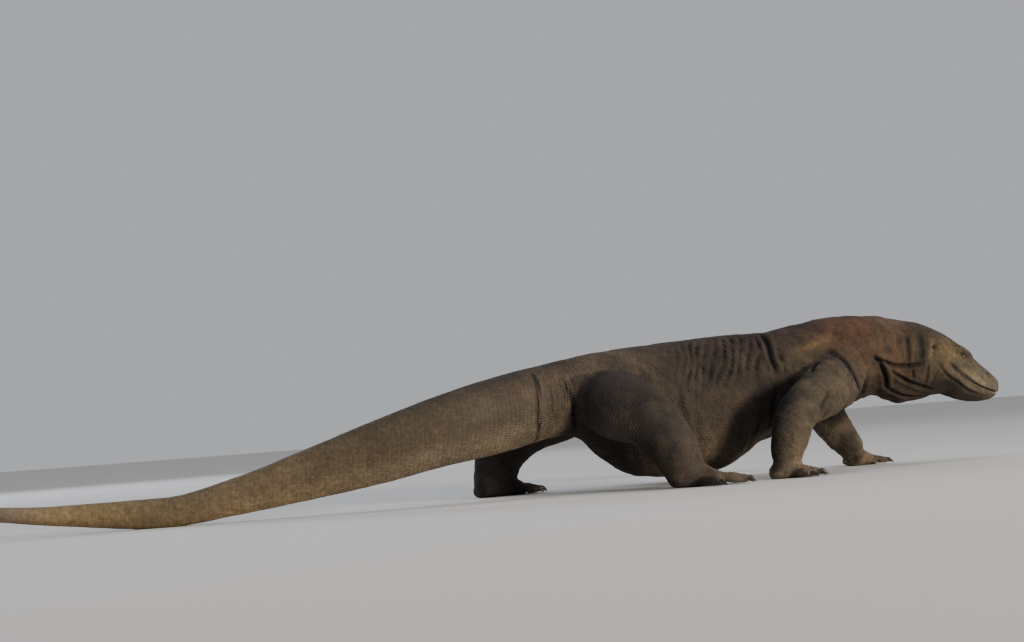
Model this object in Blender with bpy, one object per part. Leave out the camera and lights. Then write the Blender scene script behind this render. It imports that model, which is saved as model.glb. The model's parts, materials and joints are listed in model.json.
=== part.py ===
"""Komodo dragon, a still life-size model in mid stride, about 3 m from snout to tail tip.

Metres, +Z up, +X towards the head, +Y towards the animal's left. It stands on the plane z = 0.
The body is one loft from snout to tail tip, parted with thin cuts; each leg is a loft along its
bones, trimmed where it meets the body; feet, claws and eyes are pieces of their own.
"""

import bmesh
import bpy
import numpy as np
from mathutils import Matrix, Vector

# ---------------------------------------------------------------- driving dimensions
CUT = 0.0003  # gap between neighbouring pieces
BODY_SIDES = 20  # corners of a ring of the body
LEG_SIDES = 14
PALM_SIDES = 12
TOE_SIDES = 6
CLAW_SIDES = 6
UP = (0.0, 0.0, 1.0)

# The spine swings from side to side as the animal walks.
WAVE_LENGTH = 1.44
WAVE_HIP_X = -0.12
WAVE_AT_HEAD = 0.050
WAVE_AT_TAIL_TIP = 0.110
HEAD_X, TAIL_TIP_X = 1.0, -1.75
SWING_FROM_X = -1.0  # behind here the tail also swings to the left
SWING = 0.70

# Rings of the body, from snout to tail tip: the back line, the under line, half the width,
# the height of the widest level (-1 under, +1 back), and how square the upper and lower halves are.
#   place         back x, z        under x, z       half    level  upper lower
BODY = (
    ("tip",       0.975, 0.184,    0.971, 0.170,    0.012,  0.0,   2.0, 2.0),
    ("lips",      0.968, 0.201,    0.942, 0.149,    0.030,  0.0,   2.4, 2.3),
    ("nostril",   0.950, 0.219,    0.908, 0.147,    0.037,  0.0,   2.6, 2.3),
    ("snout",     0.924, 0.240,    0.865, 0.153,    0.042, -0.05,  2.7, 2.2),
    ("brow",      0.903, 0.258,    0.834, 0.164,    0.050, -0.05,  2.8, 2.2),
    ("eye",       0.882, 0.281,    0.808, 0.173,    0.057, -0.10,  2.8, 2.2),
    ("temple",    0.853, 0.307,    0.783, 0.172,    0.066, -0.15,  2.5, 2.2),
    ("jaw_angle", 0.817, 0.332,    0.752, 0.163,    0.074, -0.10,  2.3, 2.1),
    ("nape",      0.763, 0.358,    0.708, 0.159,    0.079, -0.05,  2.1, 1.9),
    ("neck",      0.706, 0.371,    0.670, 0.167,    0.081,  0.0,   2.0, 1.9),
    ("neck_root", 0.648, 0.385,    0.636, 0.182,    0.088,  0.0,   2.0, 1.9),
    ("shoulders", 0.560, 0.389,    0.556, 0.155,    0.106, -0.05,  2.0, 2.0),
    ("withers",   0.450, 0.375,    0.430, 0.112,    0.122, -0.15,  2.0, 2.1),
    ("chest",     0.368, 0.362,    0.342, 0.088,    0.131, -0.20,  2.0, 2.1),
    ("ribs",      0.285, 0.361,    0.266, 0.044,    0.143, -0.25,  2.0, 2.2),
    ("paunch",    0.190, 0.357,    0.186, 0.021,    0.150, -0.28,  2.0, 2.3),
    ("loin",      0.095, 0.351,    0.095, 0.019,    0.147, -0.25,  2.0, 2.3),
    ("flank",     0.010, 0.345,    0.010, 0.026,    0.132, -0.15,  2.0, 2.2),
    ("groin",    -0.070, 0.338,   -0.072, 0.066,    0.109, -0.05,  2.0, 2.1),
    ("vent",     -0.148, 0.329,   -0.158, 0.131,    0.087,  0.0,   2.0, 2.1),
    ("root",     -0.205, 0.320,   -0.218, 0.139,    0.077,  0.0,   1.9, 2.1),
    ("tail_a",   -0.366, 0.294,   -0.378, 0.112,    0.066, -0.05,  1.8, 2.1),
    ("tail_b",   -0.520, 0.258,   -0.532, 0.089,    0.055, -0.05,  1.8, 2.1),
    ("tail_c",   -0.662, 0.214,   -0.672, 0.062,    0.046, -0.05,  1.8, 2.1),
    ("tail_d",   -0.842, 0.151,   -0.850, 0.034,    0.035, -0.05,  1.8, 2.1),
    ("tail_e",   -0.975, 0.106,   -0.980, 0.016,    0.029, -0.05,  1.8, 2.2),
    ("tail_f",   -1.145, 0.069,   -1.147, -0.002,   0.023, -0.10,  1.9, 2.2),
    ("tail_g",   -1.376, 0.068,   -1.378, 0.021,    0.018, -0.10,  1.9, 2.2),
    ("tail_h",   -1.580, 0.078,   -1.581, 0.049,    0.012, -0.10,  2.0, 2.2),
    ("tail_tip", -1.800, 0.073,   -1.800, 0.066,    0.003,  0.0,   2.0, 2.0),
)

# Where the body is parted: the piece, the ring it ends at, and how many rings it is made of.
PIECES = (
    ("head", "jaw_angle", 19),
    ("neck", "shoulders", 9),
    ("chest", "chest", 7),
    ("belly", "flank", 10),
    ("hips", "root", 8),
    ("tail_base", "tail_c", 11),
    ("tail_middle", "tail_f", 11),
    ("tail_end", "tail_tip", 13),
)

TRUNK = ("neck", "chest", "belly", "hips", "tail_base")  # the pieces that the legs meet

# The mouth: a flat cut from the front of the lips back to the corner, below and behind the eye.
MOUTH_FRONT = Vector((0.974, 0.0, 0.163))
MOUTH_CORNER = Vector((0.822, 0.0, 0.239))

EYE_RADIUS = 0.0105
EYE_BULGE = 0.0040  # how far the ball stands proud of the cheek
EYE_BACK = 0.30  # from the eye ring towards the temple ring
EYE_ANGLE = 33.0  # degrees above the widest level

# Each leg: bone ends from inside the body to the foot, each with half its fore-and-aft depth
# and half its thickness.
#   place        x       y       z      deep   thick
LEGS = {
    "fore_right": (
        ("shoulder", 0.520, -0.045, 0.250, 0.076, 0.055),
        ("arm",      0.452, -0.128, 0.208, 0.070, 0.055),
        ("elbow",    0.328, -0.200, 0.155, 0.050, 0.046),
        ("forearm",  0.298, -0.204, 0.098, 0.047, 0.040),
        ("wrist",    0.283, -0.194, 0.038, 0.038, 0.032),
    ),
    "fore_left": (
        ("shoulder", 0.520, 0.070, 0.245, 0.070, 0.055),
        ("arm",      0.572, 0.138, 0.196, 0.062, 0.052),
        ("elbow",    0.606, 0.192, 0.140, 0.050, 0.045),
        ("forearm",  0.645, 0.200, 0.088, 0.045, 0.038),
        ("wrist",    0.688, 0.200, 0.038, 0.034, 0.032),
    ),
    "hind_right": (
        ("hip",     -0.106, -0.030, 0.226, 0.090, 0.066),
        ("thigh",   -0.098, -0.128, 0.200, 0.090, 0.080),
        ("knee",    -0.048, -0.214, 0.148, 0.068, 0.060),
        ("shank",   -0.008, -0.216, 0.092, 0.060, 0.048),
        ("ankle",    0.024, -0.206, 0.030, 0.048, 0.038),
    ),
    "hind_left": (
        ("hip",     -0.110, 0.030, 0.226, 0.088, 0.066),
        ("thigh",   -0.165, 0.125, 0.200, 0.080, 0.074),
        ("knee",    -0.242, 0.205, 0.150, 0.062, 0.058),
        ("shank",   -0.298, 0.222, 0.094, 0.060, 0.048),
        ("ankle",   -0.316, 0.226, 0.030, 0.055, 0.040),
    ),
}
UPPER_NAMES = {"fore": "arm", "hind": "thigh"}
LOWER_NAMES = {"fore": "forearm", "hind": "shank"}

# Feet: half width, length and height of the palm, and the toes from the inner one outwards:
# how far out each turns in degrees, its length beyond the palm, and half its thickness.
FEET = {
    "fore": {
        "half_width": 0.037,
        "length": 0.050,
        "height": 0.038,
        "toes": ((-42, 0.032, 0.0105), (-18, 0.038, 0.0110), (2, 0.040, 0.0110),
                 (22, 0.038, 0.0105), (48, 0.033, 0.0100)),
    },
    "hind": {
        "half_width": 0.041,
        "length": 0.084,
        "height": 0.049,
        "toes": ((-32, 0.044, 0.0110), (-14, 0.062, 0.0115), (2, 0.072, 0.0115),
                 (17, 0.075, 0.0110), (54, 0.048, 0.0100)),
    },
}
FOOT_HEADING = {"fore_right": -17, "fore_left": 17, "hind_right": -20, "hind_left": 18}
CLAW_LENGTH = {"fore": 0.026, "hind": 0.026}
CLAW_CLEARANCE = 0.0015  # claw tips stay just off the ground

SKIN_COLOURS = {
    "head": (0.16, 0.12, 0.07),
    "neck": (0.12, 0.065, 0.035),
    "body": (0.085, 0.06, 0.04),
    "tail": (0.12, 0.085, 0.055),
    "leg": (0.045, 0.033, 0.025),
}


# ---------------------------------------------------------------- curves and sections
def through(knots, values, at):
    """A smooth curve through the given values that never overshoots them (monotone cubic)."""
    knots, values, at = (np.asarray(a, float) for a in (knots, values, at))
    step = np.diff(knots)
    rise = np.diff(values) / step
    slope = np.empty(len(knots))
    slope[0], slope[-1] = rise[0], rise[-1]
    before, after = rise[:-1], rise[1:]
    weight_a = 2 * step[1:] + step[:-1]
    weight_b = step[1:] + 2 * step[:-1]
    same_way = before * after > 0
    safe = np.where(same_way, before * after, 1.0)
    mean = (weight_a + weight_b) * safe / (
        weight_a * np.where(same_way, after, 1.0) + weight_b * np.where(same_way, before, 1.0)
    )
    slope[1:-1] = np.where(same_way, mean, 0.0)
    span = np.clip(np.searchsorted(knots, at, side="right") - 1, 0, len(step) - 1)
    part = (at - knots[span]) / step[span]
    square, cube = part**2, part**3
    return (
        (2 * cube - 3 * square + 1) * values[span]
        + (cube - 2 * square + part) * step[span] * slope[span]
        + (3 * square - 2 * cube) * values[span + 1]
        + (cube - square) * step[span] * slope[span + 1]
    )


def sway(x):
    """The spine's sideways place and its slope at x: a wave that grows towards the tail tip."""
    share = (np.asarray(x, float) - TAIL_TIP_X) / (HEAD_X - TAIL_TIP_X)
    height = WAVE_AT_TAIL_TIP + (WAVE_AT_HEAD - WAVE_AT_TAIL_TIP) * share
    growth = (WAVE_AT_HEAD - WAVE_AT_TAIL_TIP) / (HEAD_X - TAIL_TIP_X)
    turn = 2 * np.pi / WAVE_LENGTH
    phase = turn * (x - WAVE_HIP_X)
    behind = np.maximum(SWING_FROM_X - x, 0.0)
    place = height * np.sin(phase) + SWING * behind**2
    return place, growth * np.sin(phase) + height * turn * np.cos(phase) - 2 * SWING * behind


PLACES = [row[0] for row in BODY]
COLUMNS = np.array([row[1:] for row in BODY])
CENTRES = (COLUMNS[:, 0:2] + COLUMNS[:, 2:4]) / 2
ALONG = np.concatenate([[0.0], np.cumsum(np.linalg.norm(np.diff(CENTRES, axis=0), axis=1))])


def body_ring(distance, sides=BODY_SIDES, angles=None):
    """Points round the body at a distance along it: a superellipse, wider or squarer by the table.

    Angle 0 is the left side, 90 degrees the back line and 270 degrees the under line.
    """
    back_x, back_z, under_x, under_z, half, level, upper, lower = (
        through(ALONG, column, distance) for column in COLUMNS.T
    )
    if angles is None:
        angles = np.arange(sides) * 2 * np.pi / sides
    cosine, sine = np.cos(angles), np.sin(angles)
    square = np.where(sine >= 0, upper, lower)
    across = half * np.sign(cosine) * np.abs(cosine) ** (2 / square)
    rise = np.sign(sine) * np.abs(sine) ** (2 / square)
    rise = level + rise * np.where(sine >= 0, 1 - level, 1 + level)
    middle_x, middle_z = (back_x + under_x) / 2, (back_z + under_z) / 2
    lean_x, lean_z = (back_x - under_x) / 2, (back_z - under_z) / 2
    middle_y, slope = sway(middle_x)
    forward = np.array([1.0, slope]) / np.hypot(1.0, slope)
    x = middle_x + lean_x * rise * forward[0] - across * forward[1]
    y = middle_y + lean_x * rise * forward[1] + across * forward[0]
    z = middle_z + lean_z * rise
    return np.stack([x, y, np.maximum(z, 0.0)], axis=1)


def tube_rings(path, tangent, deep, thick, sides, lie=(1.0, 0.0, 0.0)):
    """Oval rings square to a path; `deep` is half the size along `lie`, `thick` half across it."""
    tangent = tangent / np.linalg.norm(tangent, axis=1, keepdims=True)
    thin = np.cross(tangent, np.broadcast_to(lie, tangent.shape))
    thin /= np.linalg.norm(thin, axis=1, keepdims=True)
    broad = np.cross(thin, tangent)
    angles = np.arange(sides) * 2 * np.pi / sides
    rings = (
        path[:, None, :]
        + (deep[:, None] * np.cos(angles))[:, :, None] * broad[:, None, :]
        + (thick[:, None] * np.sin(angles))[:, :, None] * thin[:, None, :]
    )
    rings[:, :, 2] = np.maximum(rings[:, :, 2], 0.0)
    return rings


# ---------------------------------------------------------------- Blender helpers
def collection(name):
    """A new collection in the scene."""
    made = bpy.data.collections.new(name)
    bpy.context.scene.collection.children.link(made)
    return made


def material(name, colour, roughness=0.75):
    """A Principled material of one colour."""
    made = bpy.data.materials.new(name)
    made.use_nodes = True
    shader = made.node_tree.nodes["Principled BSDF"]
    shader.inputs["Base Color"].default_value = (*colour, 1.0)
    shader.inputs["Roughness"].default_value = roughness
    return made


def loft(name, rings, finish, home):
    """A closed solid through a row of rings of equal count, capped at both ends."""
    mesh = bmesh.new()
    rows = [[mesh.verts.new(point) for point in ring] for ring in rings]
    count = len(rows[0])
    for near, far in zip(rows, rows[1:]):
        for i in range(count):
            j = (i + 1) % count
            mesh.faces.new((near[i], near[j], far[j], far[i]))
    mesh.faces.new(rows[0])
    mesh.faces.new(rows[-1])
    bmesh.ops.triangulate(mesh, faces=mesh.faces)
    bmesh.ops.recalc_face_normals(mesh, faces=mesh.faces)
    data = bpy.data.meshes.new(name)
    mesh.to_mesh(data)
    mesh.free()
    data.shade_smooth()
    data.materials.append(finish)
    made = bpy.data.objects.new(name, data)
    home.objects.link(made)
    return made


def hide(helper):
    """Marks a cutter, which is not a part."""
    helper.hide_render = True
    helper.display_type = "WIRE"
    return helper


def combine(target, other, operation):
    """A Boolean modifier, applied at once so that later cuts meet a plain mesh."""
    modifier = target.modifiers.new(operation.lower(), "BOOLEAN")
    modifier.operation = operation
    modifier.solver = "EXACT"
    modifier.object = other
    graph = bpy.context.evaluated_depsgraph_get()
    result = bpy.data.meshes.new_from_object(target.evaluated_get(graph))
    target.modifiers.clear()
    target.data = result


def grown(source, by, name, home):
    """A copy of a mesh pushed out along its normals, as a cutter that leaves a gap."""
    data = source.data.copy()
    mesh = bmesh.new()
    mesh.from_mesh(data)
    mesh.normal_update()
    for vertex, push in [(v, v.normal * by) for v in mesh.verts]:
        vertex.co += push
    mesh.to_mesh(data)
    mesh.free()
    made = bpy.data.objects.new(name, data)
    home.objects.link(made)
    return hide(made)


# ---------------------------------------------------------------- body
def build_body(parts, cutters, finishes):
    """The lofted pieces from snout to tail tip, and the trunk as one cutter a gap larger."""
    made, trunk = {}, []
    start = 0.0
    for name, last, rings in PIECES:
        stop = ALONG[PLACES.index(last)]
        first = start if start == 0.0 else start + CUT / 2
        end = stop if last == "tail_tip" else stop - CUT / 2
        group = "tail" if name.startswith("tail") else name if name in SKIN_COLOURS else "body"
        shares = np.linspace(0.0, 1.0, rings)
        if name == "head":
            shares = shares**1.5  # closer rings at the blunt snout
        rows = [body_ring(first + (end - first) * share) for share in shares]
        made[name] = loft(name, rows, finishes[group], parts)
        if name in TRUNK:
            trunk += rows
        start = stop
    whole = loft("trunk", trunk, finishes["body"], cutters)
    cutter = grown(whole, CUT, "trunk_cutter", cutters)
    bpy.data.objects.remove(whole)
    return made, cutter


def build_jaw(head, parts, cutters, finish):
    """Parts the lower jaw from the head with a box whose top is the plane of the mouth."""
    run = MOUTH_CORNER - MOUTH_FRONT
    middle_y = float(sway(MOUTH_CORNER.x)[0])
    length, width, depth, beyond = run.length, 0.4, 0.3, 0.05
    back = run.normalized()
    side = Vector((0.0, 1.0, 0.0))
    up = back.cross(side).normalized()
    if up.z < 0:
        up.negate()
    for shrink, operation, target in ((0.0, "DIFFERENCE", head), (CUT, "INTERSECT", None)):
        bpy.ops.mesh.primitive_cube_add(size=1.0)
        box = bpy.context.object
        box.name = f"mouth_{operation.lower()}"
        size = Vector((length + beyond - shrink, width, depth))
        middle = MOUTH_FRONT + Vector((0, middle_y, 0)) + back * (length - beyond - shrink) / 2
        middle -= up * (depth / 2 + shrink)
        turned = Matrix((back, side, up)).transposed().to_4x4()
        box.matrix_world = Matrix.Translation(middle) @ turned @ Matrix.Diagonal((*size, 1.0))
        for owner in box.users_collection:
            owner.objects.unlink(box)
        cutters.objects.link(hide(box))
        if operation == "DIFFERENCE":
            whole = head.data.copy()
            combine(head, box, operation)
        else:
            jaw = bpy.data.objects.new("lower_jaw", whole)
            parts.objects.link(jaw)
            combine(jaw, box, operation)
            jaw.data.materials.clear()
            jaw.data.materials.append(finish)
    return jaw


def build_eyes(head, parts, cutters, finish):
    """Two eyeballs, each in a round socket cut into the head."""
    eye, temple = (ALONG[PLACES.index(place)] for place in ("eye", "temple"))
    distance = eye + EYE_BACK * (temple - eye)
    angle = np.radians(EYE_ANGLE)
    for side, turn in (("left", angle), ("right", np.pi - angle)):
        nearby = np.array([turn - 0.02, turn, turn + 0.02])
        ring = body_ring(distance, angles=nearby)
        ahead = body_ring(distance - 0.004, angles=nearby)
        out = np.cross(ring[2] - ring[0], ahead[1] - ring[1])
        out /= np.linalg.norm(out)
        if out[1] * (1 if side == "left" else -1) < 0:
            out = -out
        centre = ring[1] - out * (EYE_RADIUS - EYE_BULGE)
        for name, radius, home in (
            (f"eye_{side}", EYE_RADIUS, parts),
            (f"socket_{side}", EYE_RADIUS + CUT, cutters),
        ):
            mesh = bmesh.new()
            bmesh.ops.create_uvsphere(mesh, u_segments=12, v_segments=7, radius=radius)
            data = bpy.data.meshes.new(name)
            mesh.to_mesh(data)
            mesh.free()
            data.shade_smooth()
            data.materials.append(finish)
            ball = bpy.data.objects.new(name, data)
            ball.location = centre
            ball.rotation_euler = Vector(out).to_track_quat("Z", "Y").to_euler()
            home.objects.link(ball)
        bpy.context.view_layer.update()
        combine(head, hide(bpy.data.objects[f"socket_{side}"]), "DIFFERENCE")


# ---------------------------------------------------------------- legs
def leg_rings(rows, at):
    """Rings across a leg at distances along its bones, turned evenly round the bend."""
    table = np.array([row[1:] for row in rows])
    steps = np.linalg.norm(np.diff(table[:, :3], axis=0), axis=1)
    along = np.concatenate([[0.0], np.cumsum(steps)])
    x, y, z, deep, thick = (through(along, column, at) for column in table.T)
    reach = 0.045
    ends = [np.clip(at + step, 0.0, along[-1]) for step in (-reach, reach)]
    behind, ahead = (np.stack([through(along, c, e) for c in table.T[:3]], axis=1) for e in ends)
    return tube_rings(np.stack([x, y, z], axis=1), ahead - behind, deep, thick, LEG_SIDES)


def build_leg(leg, rows, parts, body_trim, foot_trims, finish):
    """Upper and lower leg: one smooth tube along the bones, parted at the elbow or knee.

    Both are trimmed a gap clear of the body, and the lower one of the foot as well.
    """
    kind = leg.split("_")[0]
    table = np.array([row[1:4] for row in rows])
    along = np.concatenate([[0.0], np.cumsum(np.linalg.norm(np.diff(table, axis=0), axis=1))])
    bend = along[2]
    for name, first, last, trim in (
        (f"{leg}_{UPPER_NAMES[kind]}", 0.0, bend - CUT, [body_trim]),
        (f"{leg}_{LOWER_NAMES[kind]}", bend + CUT, along[-1], [body_trim, *foot_trims]),
    ):
        piece = loft(name, leg_rings(rows, np.linspace(first, last, 7)), finish, parts)
        for cutter in trim:
            combine(piece, cutter, "DIFFERENCE")


# ---------------------------------------------------------------- feet
def foot_frame(leg):
    """Where a foot starts under its ankle, and the directions ahead and to its left."""
    end = np.array(LEGS[leg][-1][1:4])
    heading = np.radians(FOOT_HEADING[leg])
    ahead = np.array([np.cos(heading), np.sin(heading), 0.0])
    left = np.array([-ahead[1], ahead[0], 0.0])
    return end, ahead, left


def palm_rings(leg, size):
    """Rings of the palm from heel to knuckles, flat underneath."""
    end, ahead, left = foot_frame(leg)
    ankle_depth = LEGS[leg][-1][4]
    rings = []
    #            along  width  height; behind the ankle in its own half depths, ahead in lengths
    profile = ((-1.00, 0.58, 0.62), (-0.78, 0.86, 0.96), (-0.25, 1.00, 1.14), (0.20, 1.00, 1.16),
               (0.55, 1.05, 0.98), (0.85, 1.02, 0.74), (1.00, 0.82, 0.54))
    angles = np.arange(PALM_SIDES) * 2 * np.pi / PALM_SIDES
    for along, width, height in profile:
        centre = end + ahead * along * (ankle_depth if along < 0 else size["length"])
        half = size["half_width"] * width
        top = size["height"] * height
        cosine, sine = np.cos(angles), np.sin(angles)
        across = half * np.sign(cosine) * np.abs(cosine) ** 0.8
        rise = np.maximum(top * 0.45 + top * 0.55 * sine, 0.0)
        ring = centre + across[:, None] * left
        ring[:, 2] = np.where(sine < -0.8, 0.0, rise)
        rings.append(ring)
    return rings


def toe_line(leg, size, toe, mirror):
    """Centre line of a toe: out of the palm, up over the knuckle and down to its tip."""
    end, ahead, left = foot_frame(leg)
    turn, length, half = toe
    angle = np.radians(turn) * mirror
    along = ahead * np.cos(angle) + left * np.sin(angle)
    spread = np.sin(angle) * size["half_width"] * 1.35
    root = end + ahead * size["length"] * (0.78 - 0.35 * abs(np.sin(angle))) + left * spread
    shares = np.array([-0.20, 0.15, 0.45, 0.75, 1.0])
    heights = np.array([1.00, 1.35, 1.55, 1.15, 0.95]) * half
    line = root + np.outer(shares * length, along)
    line[:, 2] = heights
    return line, half * np.array([1.15, 1.1, 1.0, 0.95, 0.80])


def build_foot(leg, parts, cutters, finishes):
    """Palm with five toes joined to it, and a curved claw in front of each toe.

    Returns the palm and toes a gap larger, which trim the leg above them.
    """
    kind = leg.split("_")[0]
    size = FEET[kind]
    mirror = -1 if leg.endswith("right") else 1
    name = f"{leg}_foot"
    foot = loft(name, palm_rings(leg, size), finishes["leg"], parts)
    trims = [grown(foot, CUT, f"{name}_palm_cutter", cutters)]
    for number, toe in enumerate(size["toes"], start=1):
        line, halves = toe_line(leg, size, toe, mirror)
        rings = tube_rings(line, np.gradient(line, axis=0), halves, halves, TOE_SIDES, UP)
        part = loft(f"{name}_toe", rings, finishes["leg"], cutters)
        trims.append(grown(part, CUT, f"{name}_toe_cutter_{number}", cutters))
        combine(foot, part, "UNION")
        bpy.data.objects.remove(part)
        build_claw(f"{leg}_claw_{number}", line, halves[-1], CLAW_LENGTH[kind], parts, finishes)
    return trims


def build_claw(name, line, half, length, parts, finishes):
    """A claw: a flattened horn that curves down from the toe's end to just off the ground."""
    ahead = line[-1] - line[-2]
    ahead /= np.linalg.norm(ahead)
    flat = np.array([ahead[0], ahead[1], 0.0])
    flat /= np.linalg.norm(flat)
    shares = np.array([0.0, 0.35, 0.70, 1.0])
    start = line[-1] + ahead * CUT
    path = start + np.outer(shares * length * 0.92, flat)
    drop = start[2] - CLAW_CLEARANCE - half * 0.1
    hump = np.array([0.0, 0.08, -0.25, -1.0])
    path[:, 2] = start[2] + np.where(hump > 0, hump * half * 2, hump * drop)
    deep = half * 0.60 * np.array([1.0, 0.80, 0.50, 0.10])
    tall = half * 0.86 * np.array([1.0, 0.84, 0.52, 0.10])
    rings = tube_rings(path, np.gradient(path, axis=0), tall, deep, CLAW_SIDES, UP)
    # The root's ring lies against the toe's end, square to it.
    rings[0] = tube_rings(path[:1], ahead[None, :], tall[:1], deep[:1], CLAW_SIDES, UP)[0]
    loft(name, rings, finishes["claw"], parts)


# ---------------------------------------------------------------- the whole animal
def centre_on_floor(parts):
    """Moves the animal so that the middle of its bounding box, at floor level, is the origin."""
    bpy.context.view_layer.update()
    corners = np.array([p.matrix_world @ Vector(c) for p in parts.objects for c in p.bound_box])
    middle = (corners.min(axis=0) + corners.max(axis=0)) / 2
    for piece in parts.objects:
        piece.location.x -= middle[0]
        piece.location.y -= middle[1]
    print("moved to the origin by", -middle[0], -middle[1])


def main():
    for old in list(bpy.data.objects):
        bpy.data.objects.remove(old)
    parts, cutters = collection("komodo_dragon"), collection("cutters")
    finishes = {name: material(f"{name}_skin", colour) for name, colour in SKIN_COLOURS.items()}
    finishes["claw"] = material("claw_horn", (0.02, 0.016, 0.012), 0.4)
    finishes["eye"] = material("eye", (0.02, 0.012, 0.006), 0.08)

    body, trim = build_body(parts, cutters, finishes)
    build_jaw(body["head"], parts, cutters, finishes["head"])
    build_eyes(body["head"], parts, cutters, finishes["eye"])
    for leg, rows in LEGS.items():
        foot_trims = build_foot(leg, parts, cutters, finishes)
        build_leg(leg, rows, parts, trim, foot_trims, finishes["leg"])
    centre_on_floor(parts)


main()
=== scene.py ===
# %% [markdown]
# # A Komodo dragon in mid stride, as a life-size museum figure
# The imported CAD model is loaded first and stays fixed: it says where everything is. Then one skin
# is worked out over the same curves as the solids, a little inside them, and given its folds,
# lids, lips and nostrils. Some sixty-five thousand small solid scales are laid over it in rings,
# as they grow. Each code cell prints what it made, so the lesson can be followed in a terminal.

import itertools
import json

import bpy
import numpy as np
from mathutils import Matrix, Vector

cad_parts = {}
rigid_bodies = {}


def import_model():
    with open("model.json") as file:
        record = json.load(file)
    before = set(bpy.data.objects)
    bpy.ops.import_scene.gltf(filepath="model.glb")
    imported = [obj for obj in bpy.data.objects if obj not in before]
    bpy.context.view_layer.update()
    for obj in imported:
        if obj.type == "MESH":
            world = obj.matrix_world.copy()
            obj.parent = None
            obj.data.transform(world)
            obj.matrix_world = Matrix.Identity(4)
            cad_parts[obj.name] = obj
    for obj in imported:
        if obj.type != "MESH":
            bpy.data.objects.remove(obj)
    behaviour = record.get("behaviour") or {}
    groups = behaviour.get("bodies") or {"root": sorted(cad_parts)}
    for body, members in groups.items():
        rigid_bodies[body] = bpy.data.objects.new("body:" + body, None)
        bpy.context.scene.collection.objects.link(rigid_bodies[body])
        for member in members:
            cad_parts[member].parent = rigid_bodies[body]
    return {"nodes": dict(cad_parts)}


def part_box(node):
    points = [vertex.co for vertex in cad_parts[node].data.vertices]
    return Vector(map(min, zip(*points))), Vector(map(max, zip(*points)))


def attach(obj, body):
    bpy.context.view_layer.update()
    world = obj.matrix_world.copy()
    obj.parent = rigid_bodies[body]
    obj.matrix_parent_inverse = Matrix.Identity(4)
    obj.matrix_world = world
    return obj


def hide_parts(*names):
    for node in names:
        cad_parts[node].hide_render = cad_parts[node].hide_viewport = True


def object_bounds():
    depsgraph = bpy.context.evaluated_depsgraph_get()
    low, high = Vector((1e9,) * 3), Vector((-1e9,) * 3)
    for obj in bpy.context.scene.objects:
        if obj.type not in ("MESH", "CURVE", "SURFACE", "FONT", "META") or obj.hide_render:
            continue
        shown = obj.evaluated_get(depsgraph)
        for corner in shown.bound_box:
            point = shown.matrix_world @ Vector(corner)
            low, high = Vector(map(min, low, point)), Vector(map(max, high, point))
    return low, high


for old in list(bpy.data.objects):  # the startup scene's cube, lamp and camera
    bpy.data.objects.remove(old)
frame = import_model()
cad_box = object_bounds()
print("frame:", len(frame["nodes"]), "nodes, box", np.round(cad_box, 4).tolist())

# %% [markdown]
# ## Where the figure stands
# The curves below are written in the maker's own frame, with the hips near x = 0. The packed
# model has its origin at the middle of its box on the floor, so every point is moved by the same
# two numbers. They could be read off a node's box, but the eyes are the only round nodes whose
# middles are known exactly, so they serve as a check further down instead.

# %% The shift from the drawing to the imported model
MOVED = np.array([0.413463, -0.010951, 0.0])


def placed(points):
    """Points of the drawing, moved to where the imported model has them."""
    return points + MOVED


# %% [markdown]
# ## The camera
# A low camera looks slightly up at the animal from its right side, a little from behind, the way
# a person kneeling on a beach would see it. A long lens keeps the snout and the tail root in
# proportion. The camera could be aimed with a Track To constraint, but three angles say more
# plainly what it does, and the small roll tilts the floor as a hand-held camera does.

# %% The camera
CAMERA_PLACE = np.array([-1.610, -4.007, 0.165])
TURN, LOOK_UP, ROLL = np.radians((18.0, 3.5, 4.3))
LENS_MM = 61.98  # on a 36 mm wide sensor


def camera_axes(turn, look_up, roll):
    """Right, up and forward from three angles: turn from +Y towards +X, then tip, then roll."""
    forward = np.array(
        [np.sin(turn) * np.cos(look_up), np.cos(turn) * np.cos(look_up), np.sin(look_up)]
    )
    level = np.array([np.cos(turn), -np.sin(turn), 0.0])
    upright = np.cross(level, forward)
    right = np.cos(roll) * level - np.sin(roll) * upright
    up = np.sin(roll) * level + np.cos(roll) * upright
    return right, up, forward


camera_data = bpy.data.cameras.new("camera")
camera_data.lens, camera_data.sensor_width = LENS_MM, 36.0
camera = bpy.data.objects.new("camera", camera_data)
bpy.context.scene.collection.objects.link(camera)
right, up, forward = camera_axes(TURN, LOOK_UP, ROLL)
turned = Matrix(np.stack([right, up, -forward], axis=1).tolist()).to_4x4()
camera.matrix_world = Matrix.Translation(placed(CAMERA_PLACE).tolist()) @ turned
bpy.context.scene.camera = camera
print("camera at", np.round(placed(CAMERA_PLACE), 3).tolist())

# %% [markdown]
# ## Colours and nodes
# A colour picked on a screen is an sRGB value, and the shader wants it linear, so one function
# turns hex values into linear ones. Another adds a node with its settings and links. With these
# two, a material reads as a short list.


# %% Helpers for materials
def linear(code):
    """An sRGB hex colour as linear RGBA: (c / 12.92) when dark, ((c + 0.055) / 1.055) ^ 2.4."""
    srgb = np.array([int(code[i : i + 2], 16) for i in (1, 3, 5)]) / 255
    value = np.where(srgb <= 0.04045, srgb / 12.92, ((srgb + 0.055) / 1.055) ** 2.4)
    return (*value.tolist(), 1.0)


def add(tree, kind, inputs=None, **settings):
    """Adds a node, sets its properties, then sets each named input or links it to a socket."""
    node = tree.nodes.new("ShaderNode" + kind)
    for name, value in settings.items():
        setattr(node, name, value)
    for name, value in (inputs or {}).items():
        if isinstance(value, bpy.types.NodeSocket):
            tree.links.new(value, node.inputs[name])
        else:
            node.inputs[name].default_value = value
    return node


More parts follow.
